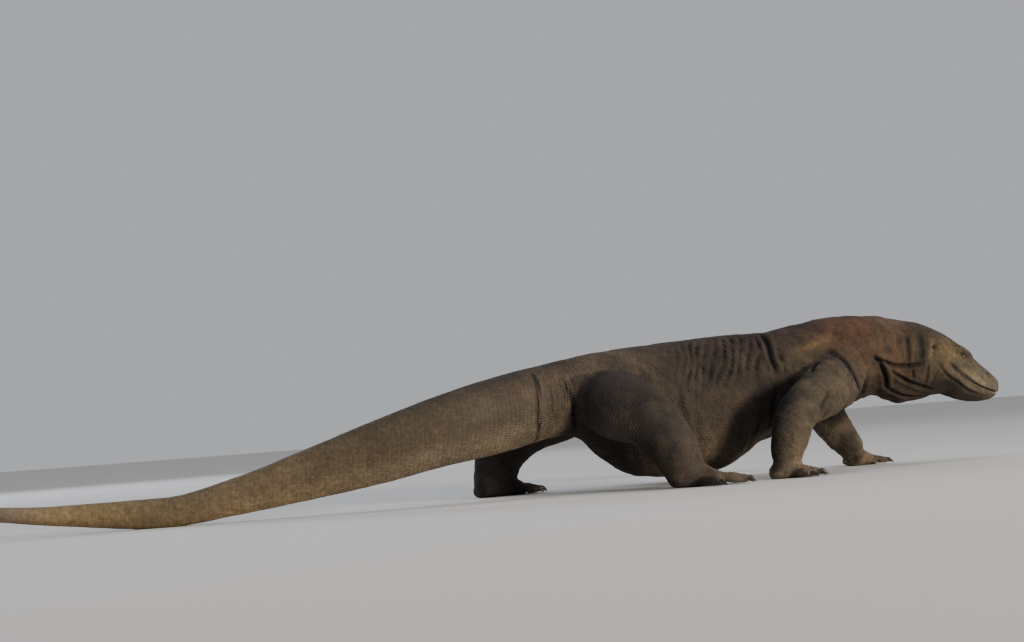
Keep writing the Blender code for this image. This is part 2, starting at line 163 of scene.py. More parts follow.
def ramp(tree, factor, stops):
    """A ramp through stops of (place from 0 to 1, hex colour)."""
    node = add(tree, "ValToRGB", {"Fac": factor})
    while len(node.color_ramp.elements) < len(stops):
        node.color_ramp.elements.new(0.5)
    for element, (stop, code) in zip(node.color_ramp.elements, stops):
        element.position, element.color = stop, linear(code)
    return node.outputs["Color"]


def new_material(name, **principled):
    """A material with an output and a Principled shader; returns it, its tree and the shader."""
    material = bpy.data.materials.new(name)
    material.use_nodes = True
    tree = material.node_tree
    tree.nodes.clear()
    shader = add(tree, "BsdfPrincipled", principled)
    add(tree, "OutputMaterial", {"Surface": shader.outputs["BSDF"]})
    return material, tree, shader


# %% [markdown]
# ## The studio
# The floor is a wide pale disc, and the world behind it is a plain grey a little darker, so that
# only a quiet horizon shows. A soft box low and far off, on the near side and ahead, stands for a
# low sun: it lights the face and the front of each limb and throws the arm's shadow on the belly.
# Two cooler boxes, overhead and on the far side, stand for the sky. A sky texture could do the
# same, but a studio stays plain from every side.

# %% Floor, world and lamps
FLOOR_RADIUS = 60.0
FLOOR_SIDES = 96
FLOOR_GREY, SKY_GREY, SKY_STRENGTH = "#d2d0cc", "#d4d7dc", 0.68


def disc(radius, sides):
    """Points at equal angles on a circle at floor level."""
    angle = np.linspace(0, 2 * np.pi, sides, endpoint=False)
    return np.stack([radius * np.cos(angle), radius * np.sin(angle), 0 * angle], axis=1)


floor_mesh = bpy.data.meshes.new("floor")
floor_mesh.from_pydata(disc(FLOOR_RADIUS, FLOOR_SIDES).tolist(), [], [list(range(FLOOR_SIDES))])
floor_paint, tree, shader = new_material("matt_floor_paint", Roughness=0.9)
shader.inputs["Base Color"].default_value = linear(FLOOR_GREY)
shader.inputs["Specular IOR Level"].default_value = 0.1
floor_mesh.materials.append(floor_paint)
floor = bpy.data.objects.new("floor", floor_mesh)
bpy.context.scene.collection.objects.link(floor)

world = bpy.data.worlds.new("studio")
world.use_nodes = True
world.node_tree.nodes["Background"].inputs["Color"].default_value = linear(SKY_GREY)
world.node_tree.nodes["Background"].inputs["Strength"].default_value = SKY_STRENGTH
bpy.context.scene.world = world

LIT_PLACE = Vector((0.15, 0.0, 0.15))  # what the lamps are turned to
#        name           place, m           width  height  watts  colour
LAMPS = (
    ("low_sun_box", (6.5, -10.0, 1.9), 2.2, 2.2, 2000.0, "#fff0da"),
    ("top_fill", (0.0, -0.6, 3.4), 3.5, 2.0, 34.0, "#eef2ff"),
    ("far_sky_box", (-1.5, 7.0, 3.2), 4.0, 2.0, 170.0, "#e6edff"),
)
for name, stand, width, height, watts, colour in LAMPS:
    lamp_data = bpy.data.lights.new(name, "AREA")
    lamp_data.shape, lamp_data.size, lamp_data.size_y = "RECTANGLE", width, height
    lamp_data.energy, lamp_data.color = watts, linear(colour)[:3]
    lamp = bpy.data.objects.new(name, lamp_data)
    lamp.location = stand
    lamp.rotation_euler = (LIT_PLACE - Vector(stand)).to_track_quat("-Z", "Y").to_euler()
    bpy.context.scene.collection.objects.link(lamp)
print("studio: a floor and", len(LAMPS), "soft boxes")

# %% [markdown]
# ## The curves of the body
# A monitor lizard's body is one long tube: a flat wedge of a head, a loose thick neck, a barrel
# of a trunk and a tail that is deeper than it is wide. It could be sculpted, but a table of ovals
# along a swaying spine gives the whole outline in thirty rows. Each row says where the back line
# and the under line are, half the width, how high the widest level is, and how square the upper
# and lower halves are. The solids were lofted from the same rows, so the skin fits them.

# %% Body table and its curves
WAVE_LENGTH, WAVE_HIP_X = 1.44, -0.12
WAVE_AT_HEAD, WAVE_AT_TAIL_TIP = 0.050, 0.110
HEAD_X, TAIL_TIP_X = 1.0, -1.75
SWING_FROM_X, SWING = -1.0, 0.70

#   place         back x, z        under x, z       half    level  upper lower
BODY = (
    ("tip",       0.975, 0.184,    0.971, 0.170,    0.012,  0.0,   2.0, 2.0),
    ("lips",      0.968, 0.201,    0.942, 0.149,    0.030,  0.0,   2.4, 2.3),
    ("nostril",   0.950, 0.219,    0.908, 0.147,    0.037,  0.0,   2.6, 2.3),
    ("snout",     0.924, 0.240,    0.865, 0.153,    0.042, -0.05,  2.7, 2.2),
    ("brow",      0.903, 0.258,    0.834, 0.164,    0.050, -0.05,  2.8, 2.2),
    ("eye",       0.882, 0.281,    0.808, 0.173,    0.057, -0.10,  2.8, 2.2),
    ("temple",    0.853, 0.307,    0.783, 0.172,    0.066, -0.15,  2.5, 2.2),
    ("jaw_angle", 0.817, 0.332,    0.752, 0.163,    0.074, -0.10,  2.3, 2.1),
    ("nape",      0.763, 0.358,    0.708, 0.159,    0.079, -0.05,  2.1, 1.9),
    ("neck",      0.706, 0.371,    0.670, 0.167,    0.081,  0.0,   2.0, 1.9),
    ("neck_root", 0.648, 0.385,    0.636, 0.182,    0.088,  0.0,   2.0, 1.9),
    ("shoulders", 0.560, 0.389,    0.556, 0.155,    0.106, -0.05,  2.0, 2.0),
    ("withers",   0.450, 0.375,    0.430, 0.112,    0.122, -0.15,  2.0, 2.1),
    ("chest",     0.368, 0.362,    0.342, 0.088,    0.131, -0.20,  2.0, 2.1),
    ("ribs",      0.285, 0.361,    0.266, 0.044,    0.143, -0.25,  2.0, 2.2),
    ("paunch",    0.190, 0.357,    0.186, 0.021,    0.150, -0.28,  2.0, 2.3),
    ("loin",      0.095, 0.351,    0.095, 0.019,    0.147, -0.25,  2.0, 2.3),
    ("flank",     0.010, 0.345,    0.010, 0.026,    0.132, -0.15,  2.0, 2.2),
    ("groin",    -0.070, 0.338,   -0.072, 0.066,    0.109, -0.05,  2.0, 2.1),
    ("vent",     -0.148, 0.329,   -0.158, 0.131,    0.087,  0.0,   2.0, 2.1),
    ("root",     -0.205, 0.320,   -0.218, 0.139,    0.077,  0.0,   1.9, 2.1),
    ("tail_a",   -0.366, 0.294,   -0.378, 0.112,    0.066, -0.05,  1.8, 2.1),
    ("tail_b",   -0.520, 0.258,   -0.532, 0.089,    0.055, -0.05,  1.8, 2.1),
    ("tail_c",   -0.662, 0.214,   -0.672, 0.062,    0.046, -0.05,  1.8, 2.1),
    ("tail_d",   -0.842, 0.151,   -0.850, 0.034,    0.035, -0.05,  1.8, 2.1),
    ("tail_e",   -0.975, 0.106,   -0.980, 0.016,    0.029, -0.05,  1.8, 2.2),
    ("tail_f",   -1.145, 0.069,   -1.147, -0.002,   0.023, -0.10,  1.9, 2.2),
    ("tail_g",   -1.376, 0.068,   -1.378, 0.021,    0.018, -0.10,  1.9, 2.2),
    ("tail_h",   -1.580, 0.078,   -1.581, 0.049,    0.012, -0.10,  2.0, 2.2),
    ("tail_tip", -1.800, 0.073,   -1.800, 0.066,    0.003,  0.0,   2.0, 2.0),
)
PLACES = [row[0] for row in BODY]
COLUMNS = np.array([row[1:] for row in BODY])


def run_along(line):
    """Distance along a bent line to each of its points."""
    return np.concatenate([[0.0], np.cumsum(np.linalg.norm(np.diff(line, axis=0), axis=1))])


ALONG = run_along((COLUMNS[:, 0:2] + COLUMNS[:, 2:4]) / 2)
LENGTH = ALONG[-1]


def place(name):
    """Distance along the body to a named row of the table."""
    return ALONG[PLACES.index(name)]


def through(knots, values, at):
    """A smooth curve through the values that never overshoots them (monotone cubic).

    Each knot's slope is the weighted harmonic mean of the slopes on either side of it.
    """
    knots, values, at = (np.asarray(a, float) for a in (knots, values, at))
    step = np.diff(knots)
    rise = np.diff(values) / step
    slope = np.empty(len(knots))
    slope[0], slope[-1] = rise[0], rise[-1]
    before, after = rise[:-1], rise[1:]
    weight_a = 2 * step[1:] + step[:-1]
    weight_b = step[1:] + 2 * step[:-1]
    same_way = before * after > 0
    safe = np.where(same_way, before * after, 1.0)
    mean = (weight_a + weight_b) * safe / (
        weight_a * np.where(same_way, after, 1.0) + weight_b * np.where(same_way, before, 1.0)
    )
    slope[1:-1] = np.where(same_way, mean, 0.0)
    span = np.clip(np.searchsorted(knots, at, side="right") - 1, 0, len(step) - 1)
    part = (at - knots[span]) / step[span]
    square, cube = part**2, part**3
    return (
        (2 * cube - 3 * square + 1) * values[span]
        + (cube - 2 * square + part) * step[span] * slope[span]
        + (3 * square - 2 * cube) * values[span + 1]
        + (cube - square) * step[span] * slope[span + 1]
    )


def curve(knots, rows, at):
    """Places on a smooth curve through the rows of a table."""
    return np.stack([through(knots, column, at) for column in np.asarray(rows).T], axis=-1)


def by_row(table, distance, column=1):
    """One column of a table whose rows start with a named place, at any distance."""
    return through([place(row[0]) for row in table], [row[column] for row in table], distance)


def sway(x):
    """The spine's sideways place and slope at x: a sine wave that grows towards the tail tip."""
    share = (x - TAIL_TIP_X) / (HEAD_X - TAIL_TIP_X)
    height = WAVE_AT_TAIL_TIP + (WAVE_AT_HEAD - WAVE_AT_TAIL_TIP) * share
    growth = (WAVE_AT_HEAD - WAVE_AT_TAIL_TIP) / (HEAD_X - TAIL_TIP_X)
    turn = 2 * np.pi / WAVE_LENGTH
    phase = turn * (x - WAVE_HIP_X)
    behind = np.maximum(SWING_FROM_X - x, 0.0)
    place = height * np.sin(phase) + SWING * behind**2
    return place, growth * np.sin(phase) + height * turn * np.cos(phase) - 2 * SWING * behind


def section(distance):
    """The oval at a distance along the body: its middle, side and back directions, and sizes.

    The back direction's length is half the oval's height, and the side direction is a unit.
    """
    back_x, back_z, under_x, under_z, half, level, upper, lower = (
        through(ALONG, column, distance) for column in COLUMNS.T
    )
    middle_x = (back_x + under_x) / 2
    middle_y, slope = sway(middle_x)
    ahead_x, ahead_y = 1 / np.hypot(1, slope), slope / np.hypot(1, slope)
    middle = np.stack([middle_x, middle_y, (back_z + under_z) / 2], axis=-1)
    side = np.stack([-ahead_y, ahead_x, 0 * ahead_x], axis=-1)
    lean = (back_x - under_x) / 2
    back = np.stack([lean * ahead_x, lean * ahead_y, (back_z - under_z) / 2], axis=-1)
    return middle, side, back, half, level, upper, lower


def body_surface(distance, angle):
    """Points on the body: a superellipse round each section.

    Angle 0 is the left side, a quarter turn the back line, three quarters the under line. The
    place is middle + half |cos|^(2/n) side + level-shifted |sin|^(2/n) back, kept above z = 0.
    """
    distance, angle = np.broadcast_arrays(distance, angle)
    middle, side, back, half, level, upper, lower = section(distance)
    cosine, sine = np.cos(angle), np.sin(angle)
    square = np.where(sine >= 0, upper, lower)
    across = half * np.sign(cosine) * np.abs(cosine) ** (2 / square)
    rise = np.sign(sine) * np.abs(sine) ** (2 / square)
    rise = level + rise * np.where(sine >= 0, 1 - level, 1 + level)
    points = middle + across[..., None] * side + rise[..., None] * back
    points[..., 2] = np.maximum(points[..., 2], 0.0)
    return points


def body_chart(points):
    """The other way round: for points near the body, distance along, angle and share out.

    The distance is found by halving an interval until the section's plane holds the point. The
    share out is 1 on the surface and more outside it.
    """
    probe = np.linspace(0, LENGTH, 600)
    middle = section(probe)[0]
    order = np.argsort(middle[:, 0])
    guess = np.interp(points[:, 0], middle[order, 0], probe[order])
    low, high = np.clip(guess - 0.25, 0, LENGTH), np.clip(guess + 0.25, 0, LENGTH)
    for _ in range(15):  # half a metre halved this often is 0.015 mm
        distance = (low + high) / 2
        middle, side, back = section(distance)[:3]
        ahead = np.einsum("ij,ij->i", points - middle, np.cross(side, back)) > 0
        high, low = np.where(ahead, distance, high), np.where(ahead, low, distance)
    distance = (low + high) / 2
    middle, side, back, half, level, upper, lower = section(distance)
    offset = points - middle
    across = np.einsum("ij,ij->i", offset, side) / half
    rise = np.einsum("ij,ij->i", offset, back) / np.einsum("ij,ij->i", back, back)
    rise = np.where(rise >= level, (rise - level) / (1 - level), (rise - level) / (1 + level))
    square = np.where(rise >= 0, upper, lower)
    out = (np.abs(across) ** square + np.abs(rise) ** square) ** (1 / square)
    sine = np.sign(rise) * (np.abs(rise) / out) ** (square / 2)
    cosine = np.sign(across) * (np.abs(across) / out) ** (square / 2)
    return distance, np.degrees(np.arctan2(sine, cosine)) % 360, out


print(f"body: {len(BODY)} sections, {LENGTH:.3f} m along the curve")

# %% [markdown]
# ## The curves of the legs and feet
# Each leg is a bent tube along its bones, and each foot a flat palm with five toes. The bone ends
# are given with half the depth fore and aft and half the thickness. The toes arch over a knuckle
# and come down to the claw.

# %% Leg table and its curves
#        place        x       y      z      deep   thick
LEGS = {
    "fore_right": (
        ("shoulder", 0.520, -0.045, 0.250, 0.076, 0.055),
        ("arm",      0.452, -0.128, 0.208, 0.070, 0.055),
        ("elbow",    0.328, -0.200, 0.155, 0.050, 0.046),
        ("forearm",  0.298, -0.204, 0.098, 0.047, 0.040),
        ("wrist",    0.283, -0.194, 0.038, 0.038, 0.032),
    ),
    "fore_left": (
        ("shoulder", 0.520, 0.070, 0.245, 0.070, 0.055),
        ("arm",      0.572, 0.138, 0.196, 0.062, 0.052),
        ("elbow",    0.606, 0.192, 0.140, 0.050, 0.045),
        ("forearm",  0.645, 0.200, 0.088, 0.045, 0.038),
        ("wrist",    0.688, 0.200, 0.038, 0.034, 0.032),
    ),
    "hind_right": (
        ("hip",     -0.106, -0.030, 0.226, 0.090, 0.066),
        ("thigh",   -0.098, -0.128, 0.200, 0.090, 0.080),
        ("knee",    -0.048, -0.214, 0.148, 0.068, 0.060),
        ("shank",   -0.008, -0.216, 0.092, 0.060, 0.048),
        ("ankle",    0.024, -0.206, 0.030, 0.048, 0.038),
    ),
    "hind_left": (
        ("hip",     -0.110, 0.030, 0.226, 0.088, 0.066),
        ("thigh",   -0.165, 0.125, 0.200, 0.080, 0.074),
        ("knee",    -0.242, 0.205, 0.150, 0.062, 0.058),
        ("shank",   -0.298, 0.222, 0.094, 0.060, 0.048),
        ("ankle",   -0.316, 0.226, 0.030, 0.055, 0.040),
    ),
}
FOOT_HEADING = {"fore_right": -17, "fore_left": 17, "hind_right": -20, "hind_left": 18}
# Toes from the inner one outwards: degrees turned out, length beyond the palm, half thickness.
FEET = {
    "fore": {
        "half_width": 0.037, "length": 0.050, "height": 0.038,
        "toes": ((-42, 0.032, 0.0105), (-18, 0.038, 0.0110), (2, 0.040, 0.0110),
                 (22, 0.038, 0.0105), (48, 0.033, 0.0100)),
    },
    "hind": {
        "half_width": 0.041, "length": 0.084, "height": 0.049,
        "toes": ((-32, 0.044, 0.0110), (-14, 0.062, 0.0115), (2, 0.072, 0.0115),
                 (17, 0.075, 0.0110), (54, 0.048, 0.0100)),
    },
}
REACH = 0.045  # a leg's rings are square to the line between points this far either side
X_AXIS, Z_AXIS = np.array([1.0, 0.0, 0.0]), np.array([0.0, 0.0, 1.0])


def unit(vectors):
    """Vectors brought to length one."""
    return vectors / np.maximum(np.linalg.norm(vectors, axis=-1, keepdims=True), 1e-12)


def tube(path, tangent, deep, thick, angle, lie):
    """Ovals square to a path: path + deep cos(angle) broad + thick sin(angle) thin."""
    tangent = unit(tangent)
    thin = unit(np.cross(tangent, np.broadcast_to(lie, tangent.shape)))
    broad = np.cross(thin, tangent)
    points = path + (deep * np.cos(angle))[..., None] * broad + (thick * np.sin(angle))[..., None] * thin
    points[..., 2] = np.maximum(points[..., 2], 0.0)
    return points


def bones(leg):
    """A leg's table as an array, and the distance along its bones to each row."""
    table = np.array([row[1:] for row in LEGS[leg]])
    return table, run_along(table[:, :3])


def leg_line(leg, distance):
    """Centre line of a leg at distances along its bones."""
    table, along = bones(leg)
    return curve(along, table[:, :3], distance)


def leg_surface(leg, distance, angle):
    """Points on a leg: ovals that turn evenly round the bend of the elbow or knee."""
    distance, angle = np.broadcast_arrays(distance, angle)
    table, along = bones(leg)
    deep, thick = (through(along, column, distance) for column in table.T[3:])
    ahead, behind = (
        leg_line(leg, np.clip(distance + step, 0, along[-1])) for step in (REACH, -REACH)
    )
    return tube(leg_line(leg, distance), ahead - behind, deep, thick, angle, X_AXIS)


def foot_directions(leg):
    """Where a foot starts under its ankle, and the directions ahead and to its left."""
    heading = np.radians(FOOT_HEADING[leg])
    ahead = np.array([np.cos(heading), np.sin(heading), 0.0])
    return np.array(LEGS[leg][-1][1:4]), ahead, np.array([-ahead[1], ahead[0], 0.0])


# Behind the ankle a palm is measured in the ankle's own half depths, ahead of it in its length.
#        along   width  height
PALM = ((-1.00, 0.58, 0.62), (-0.78, 0.86, 0.96), (-0.25, 1.00, 1.14), (0.20, 1.00, 1.16),
        (0.55, 1.05, 0.98), (0.85, 1.02, 0.74), (1.00, 0.82, 0.54))


def palm_surface(leg, share, angle):
    """Points on a palm from heel to knuckles: a low arch with a flat sole."""
    share, angle = np.broadcast_arrays(share, angle)
    size = FEET[leg.split("_")[0]]
    end, ahead, left = foot_directions(leg)
    along, width, height = (through(np.linspace(0, 1, len(PALM)), c, share) for c in np.array(PALM).T)
    cosine, sine = np.cos(angle), np.sin(angle)
    across = size["half_width"] * width * np.sign(cosine) * np.abs(cosine) ** 0.8
    top = size["height"] * height
    reach = along * np.where(along < 0, LEGS[leg][-1][4], size["length"])
    points = end + reach[..., None] * ahead + across[..., None] * left
    points[..., 2] = np.where(sine < -0.8, 0.0, np.maximum(top * (0.45 + 0.55 * sine), 0.0))
    return points


def toe_rows(leg, toe):
    """The five rows of a toe, root to tip: where its centre line runs, and half its thickness."""
    size = FEET[leg.split("_")[0]]
    end, ahead, left = foot_directions(leg)
    turn, length, half = toe
    angle = np.radians(turn) * (-1 if leg.endswith("right") else 1)
    along = ahead * np.cos(angle) + left * np.sin(angle)
    spread = left * np.sin(angle) * size["half_width"] * 1.35
    root = end + ahead * size["length"] * (0.78 - 0.35 * abs(np.sin(angle))) + spread
    line = root + np.outer(np.array([-0.20, 0.15, 0.45, 0.75, 1.0]) * length, along)
    line[:, 2] = np.array([1.00, 1.35, 1.55, 1.15, 0.95]) * half
    return line, half * np.array([1.15, 1.1, 1.0, 0.95, 0.80])


def toe_surface(leg, toe, share, angle):
    """Points on a toe: rings along its line, a little blunter than a circle at the tip."""
    share, angle = np.broadcast_arrays(share, angle)
    line, halves = toe_rows(leg, toe)
    knots = np.linspace(0, 1, len(line))
    ahead, behind = (curve(knots, line, np.clip(share + step, 0, 1)) for step in (0.02, -0.02))
    half = through(knots, halves, share)
    return tube(curve(knots, line, share), ahead - behind, half, half, angle, Z_AXIS)


print("legs:", {leg: f"{bones(leg)[1][-1] * 1000:.0f} mm" for leg in LEGS})

# %% [markdown]
# ## The raw tubes
# The skin starts as plain grids: one long tube for the body, and a tube, a palm and five toes for
# each leg. The head has the closest grid, since that is where lids and lips go. The neck and the
# trunk have as many sides with their rings further apart, the tail has half as many sides, and
# its thin end half of that again. Where the count halves, a row of triangles joins the two.

# %% From arrays to closed grids
def mesh_from(name, points, *faces):
    """A mesh from an array of points and arrays of faces, each row one face of equal corners."""
    mesh = bpy.data.meshes.new(name)
    corners = np.concatenate([face.ravel() for face in faces])
    counts = np.concatenate([np.full(len(face), face.shape[1]) for face in faces])
    starts = np.concatenate([[0], np.cumsum(counts)[:-1]])
    mesh.vertices.add(len(points))
    mesh.vertices.foreach_set("co", np.ascontiguousarray(points, np.float32).ravel())
    mesh.loops.add(len(corners))
    mesh.loops.foreach_set("vertex_index", corners.astype(np.int32))
    mesh.polygons.add(len(counts))
    mesh.polygons.foreach_set("loop_start", starts.astype(np.int32))
    mesh.update(calc_edges=True)
    return mesh


def piece(name, mesh, smooth=True):
    """Puts a mesh into the scene as an object at the origin, smooth or flat shaded."""
    made = bpy.data.objects.new(name, mesh)
    bpy.context.scene.collection.objects.link(made)
    if smooth:
        mesh.shade_smooth()
    else:
        mesh.shade_flat()
    return made


def move_points(mesh, points):
    """Gives a mesh's points new places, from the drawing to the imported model."""
    mesh.vertices.foreach_set("co", placed(points).astype(np.float32).ravel())
    mesh.update()


def store(made, name, values):
    """Stores one number for every point of an object, for its material to read."""
    stored = made.data.attributes.new(name, "FLOAT", "POINT")
    stored.data.foreach_set("value", values.astype(np.float32))


def volume(points, faces):
    """Signed volume inside closed faces: the sum of a . (b x c) / 6 over fans of triangles."""
    total = 0.0
    for face in faces:
        for k in range(1, face.shape[1] - 1):
            a, b, c = (points[face[:, j]] for j in (0, k, k + 1))
            total += np.einsum("ij,ij->", a, np.cross(b, c)) / 6
    return total


def closed_tube(name, sections):
    """A closed skin over grids of rings; each grid may have half the sides of the one before.

    Neighbouring rings are joined by quads, two grids by triangles, and each end by a fan.
    """
    points = np.concatenate([grid.reshape(-1, 3) for grid in sections])
    quads, triangles, start, before = [], [], 0, None
    for grid in sections:
        rows, sides = grid.shape[:2]
        index = start + np.arange(rows * sides).reshape(rows, sides)
        turned = np.roll(index, -1, axis=1)
        quads.append(
            np.stack([index[:-1], turned[:-1], turned[1:], index[1:]], axis=-1).reshape(-1, 4)
        )
        if before is not None and len(before) == sides:
            first, later = before, index[0]
            corners = (first, np.roll(first, -1), np.roll(later, -1), later)
            quads.append(np.stack(corners, axis=-1))
        elif before is not None:
            coarse = index[0]
            next_coarse = np.roll(coarse, -1)
            even, odd, next_even = before[0::2], before[1::2], np.roll(before[0::2], -1)
            fan = (even, odd, coarse), (odd, next_coarse, coarse), (odd, next_even, next_coarse)
            triangles += [np.stack(corners, axis=-1) for corners in fan]
        before = index[-1]
        start += rows * sides
    ends = ((sections[0][0], np.arange(sections[0].shape[1])[::-1]), (sections[-1][-1], before))
    for ring, index in ends:
        points = np.concatenate([points, ring.mean(axis=0, keepdims=True)])
        pole = np.full(len(index), len(points) - 1)
        triangles.append(np.stack([index, np.roll(index, -1), pole], axis=-1))
    faces = [np.concatenate(quads), np.concatenate(triangles)]
    if volume(points, faces) < 0:
        faces = [face[:, ::-1] for face in faces]
    return piece(name, mesh_from(name, placed(points), *faces))


def round_angles(sides):
    """Equal angles round a section, from 0."""
    return np.arange(sides) * 2 * np.pi / sides


#          last row     ring spacing  sides
GRIDS = (
    ("jaw_angle", 0.0019, 204),
    ("shoulders", 0.0036, 204),
    ("root", 0.0056, 204),
    ("tail_c", 0.0070, 102),
    ("tail_tip", 0.0084, 51),
)
sections, start = [], 0.0
for last, spacing, sides in GRIDS:
    rings = np.arange(start, place(last), spacing)
    start = rings[-1] + spacing
    if last == "tail_tip":
        rings = np.append(rings, LENGTH)
    sections.append(body_surface(rings[:, None], round_angles(sides)[None, :]))
tip = sections[0][0]  # the first ring; three smaller ones inside it close the snout evenly
nose = [tip.mean(axis=0) + (tip - tip.mean(axis=0)) * share for share in (0.25, 0.5, 0.75)]
sections[0] = np.concatenate([np.stack(nose), sections[0]])
skin = closed_tube("skin", sections)
print("body grid:", len(skin.data.vertices), "points")

LEG_SIDES, LEG_RINGS, PALM_RINGS, TOE_SIDES, TOE_RINGS = 62, 70, 16, 20, 16
limbs = []
for leg in LEGS:
    reach = np.linspace(0, bones(leg)[1][-1], LEG_RINGS)[:, None]
    limbs.append(closed_tube(f"{leg}_tube", [leg_surface(leg, reach, round_angles(LEG_SIDES)[None, :])]))
    share = np.linspace(0, 1, PALM_RINGS)[:, None]
    limbs.append(closed_tube(f"{leg}_palm", [palm_surface(leg, share, round_angles(LEG_SIDES)[None, :])]))
    for toe in FEET[leg.split("_")[0]]["toes"]:
        share = np.linspace(0, 1, TOE_RINGS)[:, None]
        limbs.append(
            closed_tube(f"{leg}_toe", [toe_surface(leg, toe, share, round_angles(TOE_SIDES)[None, :])])
        )
print("limbs:", len(limbs), "closed tubes")

# %% [markdown]
# ## One skin
# A union turns the tubes into one closed surface. The Manifold solver is quick and keeps the
# grids as they are away from the cuts. A voxel remesh would also join them, but it would lose the
# fine grid of the head.

# %% Union of body and limbs
def apply_modifiers(piece):
    """Replaces an object's mesh by what its modifiers make of it."""
    graph = bpy.context.evaluated_depsgraph_get()
    made = bpy.data.meshes.new_from_object(piece.evaluated_get(graph))
    piece.modifiers.clear()
    piece.data = made


tubes = bpy.data.collections.new("tubes")
for limb in limbs:
    tubes.objects.link(limb)
union = skin.modifiers.new("union", "BOOLEAN")
union.operation, union.solver, union.operand_type = "UNION", "MANIFOLD", "COLLECTION"
union.collection = tubes
apply_modifiers(skin)
for limb in limbs:
    bpy.data.objects.remove(limb)
bpy.data.collections.remove(tubes)
print("one skin:", len(skin.data.vertices), "points,", len(skin.data.polygons), "faces")

# %% [markdown]
# ## Soft joins
# Where a limb meets the body the union leaves a sharp valley, and living skin stretches over such
# a place. Every valley edge is found from the tilt between its two faces, and the points round it
# are drawn towards the mean of their neighbours, many times over. A Smooth modifier would do the
# same, but it needs a vertex group painted first.


# %% Softening the valleys
def face_pairs(mesh):
    """For each edge of a closed mesh, its two faces: loops sorted by edge come in pairs."""
    edge_of_loop = np.empty(len(mesh.loops), np.int32)
    mesh.loops.foreach_get("edge_index", edge_of_loop)
    counts = np.empty(len(mesh.polygons), np.int32)
    mesh.polygons.foreach_get("loop_total", counts)
    face_of_loop = np.repeat(np.arange(len(counts)), counts)
    return face_of_loop[np.argsort(edge_of_loop, kind="stable")].reshape(-1, 2)


def read(items, name, width, kind=np.float32):
    """One property of all vertices, edges or faces as an array."""
    values = np.empty(len(items) * width, kind)
    items.foreach_get(name, values)
    return values.reshape(-1, width).astype(float if kind == np.float32 else kind)


def valley_points(mesh, edges, degrees):
    """True for points on edges whose faces tilt towards each other by more than an angle."""
    middle, normal = read(mesh.polygons, "center", 3), read(mesh.polygons, "normal", 3)
    first, second = face_pairs(mesh).T
    hollow = np.einsum("ij,ij->i", middle[second] - middle[first], normal[first]) > 0
    tilted = np.einsum("ij,ij->i", normal[first], normal[second]) < np.cos(np.radians(degrees))
    found = np.zeros(len(mesh.vertices), bool)
    found[edges[hollow & tilted].ravel()] = True
    return found


def spread(weight, edges, rounds, keep):
    """Lets a weight run out to the neighbours, times `keep` at every step."""
    for _ in range(rounds):
        wider = weight.copy()
        np.maximum.at(wider, edges[:, 0], keep * weight[edges[:, 1]])
        np.maximum.at(wider, edges[:, 1], keep * weight[edges[:, 0]])
        weight = wider
    return weight


def soften(points, edges, weight, rounds):
    """Moves each point by its weight towards the mean of its neighbours, again and again."""
    count = np.bincount(edges.ravel(), minlength=len(points))[:, None]
    points = points.copy()
    for _ in range(rounds):
        total = np.stack(
            [
                np.bincount(edges[:, 0], points[edges[:, 1], axis], len(points))
                + np.bincount(edges[:, 1], points[edges[:, 0], axis], len(points))
                for axis in range(3)
            ],
            axis=1,
        )
        points += weight[:, None] * (total / count - points)
    return points


edges = read(skin.data.edges, "vertices", 2, np.int32)
points = read(skin.data.vertices, "co", 3) - MOVED
valley = valley_points(skin.data, edges, 16)
FOOT_TOP, ANKLE_REACH, TOE_TOP = 0.062, 0.055, 0.020
by_ankle = np.zeros(len(points), bool)
for leg in LEGS:
    end = foot_directions(leg)[0]
    by_ankle |= np.linalg.norm(points[:, :2] - end[:2], axis=1) < ANKLE_REACH
high = (points[:, 2] > FOOT_TOP) | (by_ankle & (points[:, 2] > TOE_TOP))
joins = spread((valley & high).astype(float), edges, 8, 0.85)
points = soften(points, edges, 0.6 * joins, 26)
toes = spread((valley & ~high).astype(float), edges, 2, 0.7)
points = soften(points, edges, 0.5 * toes, 5)
print("valleys:", int(valley.sum()), "points, softened over", int((joins > 0.3).sum()))

# %% [markdown]
# ## Reading a place on the body
# Folds and colours are easier to place by "how far along" and "how far round" than by x, y and z,
# so every point of the skin is read back into distance, angle and share out from the body. What
# lies well outside the body's own surface belongs to a limb.


# %% The chart of the skin
def smooth_step(value, low, high):
    """0 below low, 1 above high, and 3t^2 - 2t^3 between; low may be the larger one."""
    share = np.clip((value - low) / (high - low), 0, 1)
    return share * share * (3 - 2 * share)


def rumple(points, size, seed, waves=16):
    """Soft random swelling of spread 1: the sum of sine waves of about one length, any direction."""
    draw = np.random.default_rng(seed)
    turns = unit(draw.normal(size=(waves, 3))) * draw.uniform(0.7, 1.4, (waves, 1))
    return np.sin(points @ (turns * 2 * np.pi / size).T + draw.uniform(0, 6.28, waves)).sum(
        axis=1
    ) * np.sqrt(2 / waves)


def side_angle(angle):
    """Angle of either side as one: 90 at the back line, 180 at the widest, 270 underneath."""
    return np.where(np.cos(np.radians(angle)) > 0, (180 - angle) % 360, angle)


def limb_share(out):
    """How much a place belongs to a limb: 0 on the body's own surface, 1 well outside it."""
    return smooth_step(out, 1.04, 1.22)


distance, angle, out = body_chart(points)
side = side_angle(angle)
limb = limb_share(out)
print("chart: limbs have", int((limb > 0.5).sum()), "points")

# %% [markdown]
# ## Folds
# A dragon's hide is too large for it. It hangs in upright pleats on the flank, in crossing folds
# and a pouch on the throat, and creases wherever a limb swings. Each fold is a valley with a
# swell on either side, along a short line of places. Displacement from a texture would be quicker
# to set up, but it could not put each fold where it belongs.


